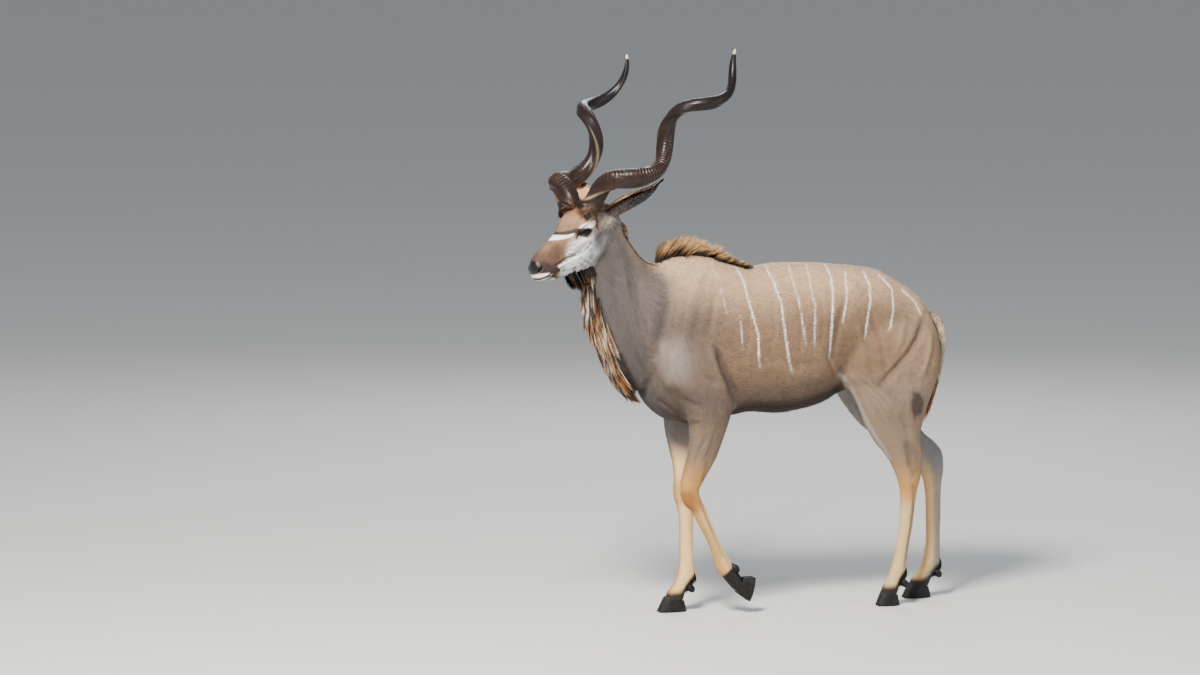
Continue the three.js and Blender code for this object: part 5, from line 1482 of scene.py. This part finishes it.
def ear_object(name, side, material):
    """An ear: a curled leaf with an outer and an inner face, closed along its rims."""
    rings, sides = 80, 46
    t = np.linspace(0, 1, rings)[:, None]
    turn = np.linspace(-1, 1, sides)[None, :]
    edge = np.clip((1 - np.abs(turn)) * 9, 0, 1) ** 0.5 * np.clip((1.001 - t) * 14, 0, 1) ** 0.5
    thick = EAR_SKIN * (0.25 + 0.75 * edge)
    outer = ear_place(side, t, turn, 0.5 * (EAR_SKIN - thick) + 0.6).reshape(-1, 3)
    inner = ear_place(side, t, turn, 0.5 * (EAR_SKIN + thick)).reshape(-1, 3)
    count = rings * sides
    i, j = np.meshgrid(np.arange(rings - 1), np.arange(sides - 1), indexing="ij")
    a = (i * sides + j).ravel()
    quads = [np.stack([a, a + 1, a + sides + 1, a + sides], 1),
             np.stack([a, a + sides, a + sides + 1, a + 1], 1) + count]
    k = np.arange(rings - 1) * sides
    quads.append(np.stack([k, k + sides, k + sides + count, k + count], 1))
    k = k + sides - 1
    quads.append(np.stack([k, k + count, k + sides + count, k + sides], 1))
    k = np.arange(sides - 1)
    quads.append(np.stack([k, k + count, k + count + 1, k + 1], 1))
    k = k + (rings - 1) * sides
    quads.append(np.stack([k, k + 1, k + count + 1, k + count], 1))
    obj = new_object(name, world(np.concatenate([outer, inner])), np.concatenate(quads).tolist())
    tt = np.broadcast_to(t, (rings, sides)).ravel()
    uu = np.broadcast_to(turn, (rings, sides)).ravel()
    add_attribute(obj.data, "tint", np.concatenate([ear_colour(tt, uu, True), ear_colour(tt, uu, False)]))
    add_attribute(obj.data, "wet", np.zeros(2 * count))
    dress(obj, material, "hide_ear", name)


def ear_colour(t, turn, outside):
    """Grey with a dark rim outside, tan with pale streaks inside."""
    t, turn = t[:, None], np.abs(turn)[:, None]
    if outside:
        c = mix(TINTS["ear_foot"], TINTS["ear_grey"], step(0.2, 0.6, t))
        share = np.maximum(step(0.84, 0.95, turn) * step(0.3, 0.5, t), step(0.78, 0.9, t) * 0.95)
    else:
        streak = step(0.15, 0.45, turn) * step(0.95, 0.6, turn) * step(0.15, 0.35, t) * step(0.95, 0.7, t) * 0.6
        c = mix(TINTS["ear_tan"], TINTS["ear_pale"], streak) * (1 - 0.5 * step(0.30, 0.03, t))
        share = np.maximum(step(0.9, 0.97, turn) * step(0.3, 0.5, t) * 0.9, step(0.84, 0.93, t) * 0.92)
    return mix(c, TINTS["ear_rim"], share)


def ear_tufts(name, side, material):
    """Short fur over the back of the ear and longer pale hair along both rims inside it."""
    parts = []
    box = EAR_ATLAS[0 if side > 0 else 1]

    def values(t, turn, depth):
        here = ear_place(side, t, turn, depth)
        ahead = unit(ear_place(side, np.minimum(t + 0.01, 1.0), turn, depth) - ear_place(side, t - 0.01, turn, depth))
        over = unit(ear_place(side, t, np.minimum(turn + 0.01, 1), depth) - ear_place(side, t, turn - 0.01, depth))
        return here, ahead, over, unit(np.cross(ahead, over))

    along, open_way, _ = ear_frame(side)
    count = 4200
    t, turn = RNG.uniform(0.05, 0.99, count), RNG.uniform(-0.99, 0.99, count)
    here, ahead, over, out = values(t, turn, 0.8)
    centre = on_head(*EARS[side][2]) + along * (EAR_LENGTH * t - EAR_SUNK)[:, None] + open_way * 20
    out = out * np.sign((out * (here - centre)).sum(1))[:, None]
    c = ear_colour(t, turn, True) * RNG.normal(1, 0.12, (count, 1)).clip(0.6, 1.4)
    wayward = unit(ahead + over * RNG.normal(0, 0.25, (count, 1)))
    uv = in_box(box, t, (turn + 1) / 4)
    parts.append(blades(here, wayward + out * 0.22, wayward + out * 0.02, RNG.uniform(6, 11, count),
                        RNG.uniform(1.4, 2.2, count), over, c, c * 1.12, uv, 1))
    count = 1500
    t = RNG.uniform(0.16, 0.97, count)
    edge = RNG.choice([-1.0, 1.0], count)
    turn = edge * (1 - np.abs(RNG.normal(0, 0.1, count))).clip(0.5, 0.99)
    here, ahead, over, out = values(t, turn, EAR_SKIN * 0.6)
    inward = -over * edge[:, None]
    length = RNG.uniform(16, 34, count) * (1.1 - 0.6 * np.abs(t - 0.5))
    start = ahead * 0.5 + inward * 0.5 + open_way * 0.75
    end = ahead * 0.9 + inward * 0.8 + open_way * 0.1
    c = TINTS["ear_hair"] * RNG.normal(1, 0.14, (count, 1)).clip(0.5, 1.3)
    root_c = TINTS["ear_hair_root"] * np.ones((count, 1))
    uv = in_box(box, t, 0.55 + 0.2 * (turn + 1))
    parts.append(blades(here, start, end, length, RNG.uniform(1.2, 2.0, count), ahead, root_c, c, uv, 3))
    count = 1500
    t = RNG.uniform(0.2, 0.995, count)
    edge = RNG.choice([-1.0, 1.0], count)
    here, ahead, over, out = values(t, edge * 0.985, EAR_SKIN * 0.4)
    start = ahead * 0.8 + over * edge[:, None] * 0.5
    c = TINTS["ear_edge"] * RNG.normal(1, 0.2, (count, 1)).clip(0.5, 1.8)
    c = mix(c, TINTS["ear_edge_low"], step(0.42, 0.2, t)[:, None])
    uv = in_box(box, t, np.full(count, 0.97))
    parts.append(blades(here, start, ahead, RNG.uniform(7, 13, count), RNG.uniform(1.2, 2.0, count), over, c, c * 1.2,
                        uv, 2))
    coat_object(name, parts, material, "hide_ear")


# ---------------------------------------------------------------- eyes, hooves, dewclaws
def eye_object(name, side, material):
    """An eyeball with iris and long pupil, a little raised in front."""
    mirror = np.array([1, 1, side])
    axes = np.stack([EYE_OUT, EYE_BACK, EYE_UP]) * mirror
    points, faces = ball(rings=56, sides=72)
    bulge = 1 + 0.035 * step(0.82, 0.97, points[:, 0])
    forward, back, up = points.T
    local = points * (EYE_RADIUS * bulge)[:, None]
    pupil = np.maximum(step(0.30, 0.24, np.hypot(back * 0.62, up * 1.5)), 0) * (forward > 0)
    iris = step(0.66, 0.60, np.hypot(back, up)) * (forward > 0)
    c = mix(mix(TINTS["eye"], TINTS["iris"], iris[:, None]), TINTS["pupil"], pupil[:, None])
    where = on_head(*(EYE_PLACE * mirror)) + (local @ axes) @ HEAD_AXES
    if side < 0:
        faces = [face[::-1] for face in faces]
    obj = new_object(name, world(where), faces)
    add_attribute(obj.data, "tint", c)
    dress(obj, material, "eye", name)


CLAW_WIDTH, CLAW_INNER, HOOF_HEIGHT = 33.0, 0.8, 62.0
FEET = {
    "fore_right": (-472, -358, 45, RIGHT, 0, 0), "hind_left": (405, 497, -75, LEFT, 0, 0),
    "hind_right": (572, 686, 75, RIGHT, 0, 0), "fore_left": (-137, -39, -88, LEFT, 77, 49),
}
DEWCLAWS = {
    "fore_left": (-193, -88, 184, LEFT), "fore_right": (-334, 46, 92, RIGHT),
    "hind_left": (526, -75, 86, LEFT), "hind_right": (722, 75, 96, RIGHT),
}


def claw_object(foot, outer, name, material):
    toe, heel, y, side, tip, lift = FEET[foot]
    rings, sides = 34, 64
    rows = smooth_rows([[0, 0.0, 0.985, 0.005, 0.985], [0.05, 0.05, 1, 0, 1.0], [0.3, 0.3, 0.94, 0.01, 1.02],
                        [0.7, 0.7, 0.83, 0.05, 0.95], [1, 1, 0.74, 0.08, 0.86]])
    r = rows(np.linspace(0, 1, rings))
    height, front, back, wide = (r[:, k][:, None] for k in range(1, 5))
    angle = circle(sides)[None, :]
    reach = np.cos(angle)
    share = (reach + 1) / 2
    x = heel + (toe - heel) * (back + (front - back) * share)
    ripple = 0.35 * np.sin(height * 58 + 1.2 * np.sin(angle * 2)) * step(0.02, 0.12, height)
    lean = height * HOOF_HEIGHT * (0.72 + 0.28 * share)
    narrow = 1 - 0.5 * np.clip(reach, 0, 1) ** 3
    bulge = np.where(np.sin(angle) * outer * side > 0, 1, CLAW_INNER)
    offset = side * outer * ((CLAW_WIDTH / 2) * CLAW_INNER * 1.02 + 0.3)
    yy = y + offset + np.sin(angle) * ((CLAW_WIDTH / 2) * wide * narrow * bulge + ripple)
    x = x + ripple * reach * np.sign(toe - heel)
    points = np.stack([x + 0 * yy, yy + 0 * x, lean + 0 * x], -1).reshape(-1, 3)
    if tip:
        turn = -math.radians(tip)
        dx = points[:, 0] - toe
        points[:, 0] = toe + dx * math.cos(turn) + points[:, 2] * math.sin(turn)
        points[:, 2] = -dx * math.sin(turn) + points[:, 2] * math.cos(turn) + lift
    obj = new_object(name, world(points), tube_faces(rings, sides) + tube_ends(rings, sides))
    dress(obj, material, "hoof", name)


DEWCLAW_HALF, DEWCLAW_LEAN = (20, 12, 14), 48      # half size in mm, lean in degrees


def dewclaw_object(foot, outer, name, material):
    x, y, z, side = DEWCLAWS[foot]
    points, faces = ball(rings=28, sides=36)
    lean = math.radians(DEWCLAW_LEAN)
    a, b, c = (points * DEWCLAW_HALF).T
    c = c + 0.25 * np.sin(a * 1.6)
    turned = np.stack([a * math.cos(lean) + c * math.sin(lean), b, -a * math.sin(lean) + c * math.cos(lean)], 1)
    obj = new_object(name, world(turned + np.array([x - 5, y + outer * side * 15, z])), faces)
    dress(obj, material, "hoof", name)


def hoof_material():
    material = new_material("hoof", 0.5, (44, 42, 42), specular=0.25)
    shade = Shade(material)
    tone = shade.ramp(shade.noise(60.0, 5.0), [(0.3, TINTS["hoof_dark"]), (0.7, TINTS["hoof_light"])])
    shade.links.new(tone, shade.shader.inputs["Base Color"])
    shade.links.new(shade.bump(shade.noise(160.0, 4.0, (0.5, 0.5, 3)), 0.3, 0.001), shade.shader.inputs["Normal"])
    return material


# ---------------------------------------------------------------- long hair: crest, throat fringe, nape, beard, tail
def clumped(count, clumps, loose=0.0):
    """For each strand its clump, values of the clump, values of its own, and its place from 0 to 1 in a row."""
    which = RNG.integers(0, clumps, count)
    c, n = RNG.normal(0, 1, (clumps, 6))[which], RNG.normal(0, 1, (count, 6))
    return which, c, n, np.clip((which + 0.5) / clumps + n[:, 0] * loose, 0, 1)


def strand_frame(form, t, angle, ahead, behind):
    """Root of a strand on a form, the way out from the form's middle, and the way along the form."""
    root = form.at(t, angle)
    out = unit(root - (form.at(t, 0.0) + form.at(t, np.pi)) / 2)
    return root, out, unit(form.at(np.minimum(t + ahead, 1), angle) - form.at(t - behind, angle))


LEFTWARD = np.array([0, 1.0, 0])
CREST_HAIR, FRINGE_HAIR, BEARD_HAIR, FETLOCK_HAIR = 97, 116, 78, 24        # lengths in mm
CREST_FRONT, CREST_LONG = -492, 372                # where the crest begins, and its length, in mm


def trunk_t(x):
    """t of the trunk where its top line is at x."""
    t = np.linspace(0, 1, 600)
    return np.interp(x, trunk.at(t, 0.0)[:, 0], t)


def crest_hair(material):
    """Standing hair along the withers, dark at the root and sandy at the tip."""
    count, clumps = 4200, 130
    _, c, n, share = clumped(count, clumps, 0.006)
    t = trunk_t(CREST_FRONT + CREST_LONG * share)
    lean = c[:, 1] * 0.05 + n[:, 1] * 0.045
    root = trunk.at(t, lean)
    length = CREST_HAIR * np.minimum(1, 0.82 + 1.8 * share) * (1 - 0.8 * np.maximum(share - 0.1, 0))
    length = length * np.clip(0.95 + c[:, 2] * 0.14 - 0.20 * np.abs(n[:, 0]) + n[:, 2] * 0.12, 0.35, 1.18)
    rise = np.radians(12 + 56 * share ** 0.8 + c[:, 3] * 5 + n[:, 3] * 3)
    lie = np.radians(36 + 62 * share ** 0.6 + c[:, 4] * 9 + n[:, 4] * 6)
    tilt = -lean * 2.2
    start = np.stack([np.sin(rise), tilt, np.cos(rise)], 1)
    end = np.stack([np.sin(lie), tilt * 1.1 + n[:, 5] * 0.05, np.cos(lie)], 1)
    wide = np.stack([np.ones(count), n[:, 5] * 0.8, 0.2 * np.ones(count)], 1)
    dark = TINTS["crest_root"] * np.clip(1 + 0.25 * n[:, :1], 0.4, 1.7)
    tip = TINTS["crest_tip"] * np.clip(1 + 0.22 * c[:, :1] + 0.34 * n[:, 1:2], 0.25, 1.55)
    part = blades(root, start, end, length, RNG.uniform(1.3, 2.4, count), wide, dark, tip,
                  atlas_uv(np.full(count, TRUNK_ID), t, lean), 5, sink=6, dark=0.34)
    coat_object("crest_hair", [part], material)


def fringe_turn(t):
    """How far the fringe's line swings round to the near side."""
    return np.radians(32) * np.sin(np.pi * np.clip((t - 0.02) / 0.9, 0, 1)) ** 0.8


def fringe_hair(material):
    """The long throat fringe, in clumps of gold, cream and black."""
    count, clumps = 6800, 190
    which, c, n, share = clumped(count, clumps, 0.007)
    t = 0.12 + 0.82 * share
    lean = c[:, 1] * 0.13 + n[:, 1] * 0.03
    angle = np.pi + lean - fringe_turn(t)
    root, out, down = strand_frame(neck, t, angle, 0.05, 0.02)
    wide = out * np.cos(n[:, 5] * 0.8)[:, None] + LEFTWARD * np.sin(n[:, 5] * 0.8)[:, None]
    start = unit(out * 0.42 + down * 0.92 + LEFTWARD * (c[:, 2] * 0.10 + n[:, 2] * 0.04)[:, None])
    end = unit(out * (0.10 * c[:, 3:4]) + down + LEFTWARD * (c[:, 4] * 0.14 + n[:, 4] * 0.04)[:, None])
    length = FRINGE_HAIR * np.clip(0.90 + 0.17 * c[:, 5] + 0.12 * n[:, 3], 0.38, 1.12) \
        * (0.74 + 0.36 * np.sin(np.pi * share))
    pick = RNG.random(clumps)[which]
    top, low = step(0.34, 0.16, share), step(0.45, 0.72, share)
    as_cream = (pick < 0.14 + 0.4 * top - 0.06 * low)[:, None]
    as_black = (pick > 0.66 - 0.42 * low)[:, None]
    stray = RNG.random((count, 1))
    as_cream = np.where(stray < 0.14, ~as_cream, as_cream)
    as_black = np.where(stray > 0.84, ~as_black, as_black)
    tip = np.where(as_black, TINTS["fringe_black"] * 1.3, TINTS["fringe_gold"])
    tip = np.where(as_cream, TINTS["fringe_cream"], tip)
    dark = np.where(as_cream, TINTS["cream_root"], TINTS["fringe_root"])
    shade = np.clip(1 + 0.22 * n[:, :1], 0.4, 1.6)
    part = blades(root, start, end, length, RNG.uniform(1.5, 2.6, count), wide, dark * shade, tip * shade,
                  atlas_uv(np.full(count, NECK_ID), t, angle), 4, sink=6, dark=0.15)
    coat_object("throat_fringe", [part], material, "hide_neck")


def nape_hair(material):
    count, clumps = 3000, 120
    _, c, n, share = clumped(count, clumps, 0.010)
    t = 0.08 + 0.80 * share
    lean = c[:, 1] * 0.08 + n[:, 1] * 0.05
    root, out, down = strand_frame(neck, t, lean, 0.04, 0.02)
    ends = np.maximum(step(0.22, 0.06, share), step(0.72, 0.95, share))[:, None]
    start = out * (0.35 + 0.35 * ends) + down * 0.8
    end = out * (0.05 + 0.15 * ends) + down
    wide = out + LEFTWARD * n[:, 5:6]
    length = (20 + 22 * ends[:, 0]) * np.clip(0.95 + 0.22 * c[:, 2] + 0.2 * n[:, 2], 0.3, 1.3)
    dark = TINTS["nape_root"] * np.clip(1 + 0.25 * n[:, :1], 0.4, 1.7)
    tip = TINTS["nape_tip"] * np.clip(1 + 0.3 * c[:, :1] + 0.15 * n[:, 1:2], 0.4, 1.7)
    part = blades(root, start, end, length, RNG.uniform(1.4, 2.2, count), wide, dark, tip,
                  atlas_uv(np.full(count, NECK_ID), t, lean), 3, sink=4, face=unit(out + np.array([-0.2, -0.8, 0.3])))
    coat_object("nape_hair", [part], material, "hide_neck")


def beard_hair(material):
    count, clumps = 2000, 60
    which, c, n, share = clumped(count, clumps, 0.015)
    s = 206 - 116 * share
    w = np.clip(c[:, 1] * 10 + n[:, 1] * 4, -26, 26)
    v = -138 - 42 * share + np.abs(w) * 0.25
    root = on_head(s, v, w)
    start = unit(-head_up - head_forward * 0.25 + head_left * (w * 0.012)[:, None])
    end = unit(-head_up - head_forward * 0.55 + head_left * (w * 0.006 + c[:, 4] * 0.10)[:, None])
    length = BEARD_HAIR * np.clip(0.92 + 0.2 * c[:, 2] + 0.12 * n[:, 2], 0.35, 1.25) \
        * (0.5 + 0.62 * np.sin(np.pi * (0.12 + 0.8 * share)))
    wide = head_left + face_along * n[:, 5:6]
    black = (RNG.random(clumps)[which] < 0.4)[:, None]
    dark = TINTS["beard_root"] * np.clip(1 + 0.2 * n[:, :1], 0.5, 1.6)
    tip = np.where(black, TINTS["beard_black"], TINTS["beard_tan"]) * np.clip(1 + 0.15 * c[:, :1], 0.5, 1.5)
    part = blades(root, start, end, length, RNG.uniform(1.4, 2.4, count), wide, dark, tip,
                  atlas_uv(np.full(count, HEAD_ID), s / 420 + 0.25, np.pi + w * 0.02), 5, sink=6)
    coat_object("beard_hair", [part], material, "hide_head")


def lash_hair(material):
    """Lashes of the upper lid."""
    parts = []
    for side in (1, -1):
        count = 70
        a = RNG.uniform(-14, 21, count)
        share = np.abs(a) / EYE_HALF
        b = LID_HIGH * (1 - share ** 2.2) + 1.0 + RNG.normal(0, 0.5, count)
        depth = np.sqrt(np.maximum(EYE_RADIUS ** 2 - a ** 2 - b ** 2, 40)) + 3.5
        flat = np.array(EYE_PLACE) + a[:, None] * EYE_BACK + b[:, None] * EYE_UP + depth[:, None] * EYE_OUT
        way = EYE_OUT + EYE_UP * (0.35 + RNG.normal(0, 0.1, (count, 1))) + EYE_BACK * (a[:, None] * 0.018)
        mirror = np.array([1, 1, side])
        root = HEAD_CENTRE + (flat * mirror) @ HEAD_AXES
        start = (way * mirror) @ HEAD_AXES
        end = ((way + EYE_UP * 0.9) * mirror) @ HEAD_AXES
        black = np.tile(TINTS["lash"], (count, 1))
        wide = np.tile((EYE_BACK * mirror) @ HEAD_AXES, (count, 1))
        uv = atlas_uv(np.full(count, HEAD_ID), 0.5 + 0 * a, np.pi / 2 * side + a * 0.01)
        parts.append(blades(root, start, end, RNG.uniform(9, 14, count), np.full(count, 0.9), wide, black, black, uv,
                            2, sink=1))
    coat_object("lashes", parts, material, "hide_head")


def fetlock_hair(material):
    """Dark hair behind each pastern, round the dewclaws."""
    parts = []
    for leg, number, high, low in ((fore_left, FL_ID, 205, 140), (fore_right, FR_ID, 150, 92),
                                   (hind_left, HL_ID, 150, 92), (hind_right, HR_ID, 155, 96)):
        count, clumps = 700, 40
        _, c, n, _ = clumped(count, clumps)
        steps = np.linspace(0, 1, 900)
        heights = leg.at(steps, np.pi)[:, 2]
        t = np.interp(-RNG.uniform(low, high, count), -heights, steps)
        angle = np.pi + c[:, 1] * 0.35 + n[:, 1] * 0.12
        root, out, down = strand_frame(leg, t, angle, 0.01, 0.02)
        length = FETLOCK_HAIR * np.clip(1 + 0.18 * c[:, 2] + 0.15 * n[:, 2], 0.4, 1.4)
        dark = TINTS["fetlock"] * np.clip(1 + 0.3 * n[:, :1], 0.4, 1.8)
        parts.append(blades(root, out * 0.42 + down, out * 0.02 + down, length, RNG.uniform(1.3, 2.1, count),
                            np.cross(down, out), dark, dark * 1.5, atlas_uv(np.full(count, number), t, angle), 2,
                            sink=3, face=out))
    coat_object("fetlock_hair", parts, material, "hide_leg")


def tail_hair(material):
    """Hair of the tail, pale at its edges, long and rusty at the end."""
    count, clumps = 3400, 130
    _, c, n, share = clumped(count, clumps, 0.01)
    t = 0.04 + 0.95 * share ** 0.8
    angle = RNG.uniform(0, 2 * np.pi, count)
    root, out, down = strand_frame(tail, t, angle, 0.03, 0.03)
    low = step(0.6, 0.95, t)[:, None]
    down = unit(mix(down, np.array([-0.32, -0.06, -1]), low))
    start = unit(out * (0.28 - 0.05 * low) + down)
    end = unit(out * 0.03 + down + LEFTWARD * (c[:, 3:4] * 0.05))
    length = (26 + 76 * low[:, 0]) * np.clip(1 + 0.12 * c[:, 2] + 0.14 * n[:, 2], 0.5, 1.2)
    wide = np.cross(down, out) + out * n[:, 5:6] * 0.4
    edge = (np.abs(np.sin(angle)) > 0.72) & (t < 0.72)
    tip = np.where(edge[:, None], TINTS["tail_pale"], TINTS["tail"])
    tip = mix(tip, np.where(RNG.random((count, 1)) < 0.6, TINTS["tail_rust"], TINTS["tail_dark"]), low)
    root_c = mix(TINTS["tail"] * 0.8, TINTS["tail_dark"], low)
    shade = np.clip(1 + 0.14 * n[:, :1], 0.5, 1.5)
    part = blades(root, start, end, length, RNG.uniform(1.8, 3.0, count), wide, root_c * shade, tip * shade,
                  atlas_uv(np.full(count, TAIL_ID), t, angle), 4, sink=4)
    coat_object("tail_hair", [part], material)


# ---------------------------------------------------------------- putting it together
BODY_INSET, LEG_INSET, HEAD_INSET = 3.0, 1.6, 0.8  # how far the skin lies inside the solids, in mm
BARE_HORN, BARE_HOOF = 27, 58                      # skin without hair round a horn and above the ground, in mm
mesh, form, t, angle, lie = build_skin()
places = coordinates(mesh) / MM
normals = normals_of(mesh)
colour, pic = full_colour(places, form, t, angle)
low_leg = (form >= FL_ID) * step(760, 600, places[:, 2])
inset = BODY_INSET + (LEG_INSET - BODY_INSET) * low_leg
inset = np.where(form == HEAD_ID, HEAD_INSET, inset)
smoother = Smoother(edges_of(mesh), len(places))
inset = smoother.soften(inset, 10)
places = places - normals * inset[:, None]
set_coordinates(mesh, world(places))
add_attribute(mesh, "tint", colour)
add_attribute(mesh, "wet", wetness(places, form, pic))
skin = bpy.data.objects.new("skin", mesh)
bpy.context.scene.collection.objects.link(skin)
mesh.shade_smooth()
mesh.materials.clear()
SKIN_MATERIAL = skin_material()
mesh.materials.append(SKIN_MATERIAL)
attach(skin, "root")
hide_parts("torso", "neck", "head", "tail", "leg_fore_left", "leg_fore_right", "leg_hind_left", "leg_hind_right")
print("skin", len(places), len(mesh.polygons), flush=True)

HORN = horn_material()
HOOF = hoof_material()
EYE = new_material("eye", 0.03, specular=0.3)
FUR = new_material("fur", 0.68, specular=0.25, sheen=0.05)
for name, side in (("left", 1), ("right", -1)):
    horn_object("horn_" + name, side, HORN)
    ear_object("ear_" + name, side, SKIN_MATERIAL)
    ear_tufts("ear_fur_" + name, side, FUR)
    eye_object("eye_" + name, side, EYE)
for foot in FEET:
    for outer, word in ((1, "outer"), (-1, "inner")):
        claw_object(foot, outer, f"hoof_{foot}_{word}", HOOF)
        dewclaw_object(foot, outer, f"dewclaw_{foot}_{word}", HOOF)

# roots of the short coat: everywhere but the bare nose, lips, eye rims, hooves and horn bases
mesh.calc_loop_triangles()
corners = read(mesh.loop_triangles, "vertices", np.int32, 3)
local = to_head(places)
eye_a, eye_b, eye_c = eye_local(near_side(local))
on_skull = form == HEAD_ID
bare = on_skull & (eye_opening(eye_a, eye_b) < 2.5) & (eye_c > -25) & (np.hypot(eye_a, eye_b) < 40)
bare |= wetness(places, form, pic) > 0.35
horn_gap = np.minimum(np.linalg.norm(local - to_head(horn_centre(1, 0.0)), axis=1),
                      np.linalg.norm(local - to_head(horn_centre(-1, 0.0)), axis=1))
bare |= on_skull & (horn_gap < BARE_HORN)
horn_lie = unit(horn_centre(1, 0.05) - horn_centre(1, 0.0))
to_horn = (on_skull * step(66, 44, horn_gap))[:, None]
lie = unit(unit(lie) * (1 - to_horn) + horn_lie * to_horn * 1.4)
bare |= (form > FL_ID) & (places[:, 2] < BARE_HOOF)
bare |= (form == FL_ID) & (t > 0.985)
open_skin = (~bare).astype(float)
face = on_skull * step(-40, 60, local[:, 0])
muzzle = on_skull * step(150, 260, local[:, 0])
growth = np.where(on_skull, 1 - 0.45 * face - 0.25 * muzzle, 1.0) * np.where(form >= FL_ID, 1 - 0.4 * low_leg, 1.0)
belly = (form == TRUNK_ID) * step(-0.72, -0.94, np.cos(angle)) * step(-420, -300, places[:, 0])
growth = growth * (1 + 1.7 * belly) * (1 + 0.6 * to_horn[:, 0])
near_eye = on_skull * step(26, 8, eye_opening(eye_a, eye_b)) * (eye_c > -30)
growth = growth * (1 - 0.5 * near_eye)
surface = Surface(places, corners, normal=normals, lie=lie, t=t, sin=np.sin(angle), cos=np.cos(angle),
                  form=form, length=growth)
legs = (form >= FL_ID) * step(800, 700, places[:, 2]) > 0.5
trunk_side = (form == TRUNK_ID) | ((form >= FL_ID) & ~legs) | (form == TAIL_ID)
rear = places[:, 0] > 30
# The flat coat: piece, number of tufts, where they grow, length and width in mm, lift in radians, material slot
for name, count, where, length, width, lift, slot in (
        ("coat_front", 40000, trunk_side & ~rear, 13, 1.9, 0.20, "hide_body"),
        ("coat_rear", 46000, trunk_side & rear, 13, 1.9, 0.20, "hide_body"),
        ("coat_neck", 24000, form == NECK_ID, 14, 1.9, 0.24, "hide_neck"),
        ("coat_legs", 42000, legs, 10, 1.6, 0.17, "hide_leg"),
        ("coat_head", 44000, on_skull * (1 + 1.6 * face), 10, 1.5, 0.18, "hide_head")):
    tufts(name, surface, count, open_skin * where, length, width, lift, FUR, slot)
for hair in (crest_hair, fringe_hair, nape_hair, beard_hair, lash_hair, horn_fur, fetlock_hair, tail_hair):
    hair(FUR)

floor = new_object("floor", [(-30, -12, 0), (30, -12, 0), (30, 40, 0), (-30, 40, 0)], [(0, 1, 2, 3)])
ground = new_material("ground", 0.9, (206, 205, 202), specular=0.2)
floor.data.materials.append(ground)


def area_light(name, energy, size, where, aim, colour):
    data = bpy.data.lights.new(name, "AREA")
    data.energy, data.size, data.color = energy, size, colour
    lamp = bpy.data.objects.new(name, data)
    bpy.context.scene.collection.objects.link(lamp)
    lamp.location = where
    lamp.rotation_euler = (Vector(aim) - Vector(where)).to_track_quat("-Z", "Y").to_euler()


area_light("key", 1560, 1.7, (-3.4, -4.4, 6.2), (0, 0, 1.1), (1.0, 0.965, 0.92))
area_light("fill", 160, 4.0, (5.0, -5.0, 3.0), (0, 0, 1.0), (0.88, 0.94, 1.0))
area_light("back", 200, 3.0, (2.0, 5.5, 4.5), (0, 0, 1.2), (0.95, 0.97, 1.0))
surroundings = bpy.data.worlds.new("surroundings")
bpy.context.scene.world = surroundings
surroundings.use_nodes = True
background = surroundings.node_tree.nodes["Background"]
background.inputs["Color"].default_value = (0.80, 0.86, 0.95, 1)
background.inputs["Strength"].default_value = 0.44
add_camera()
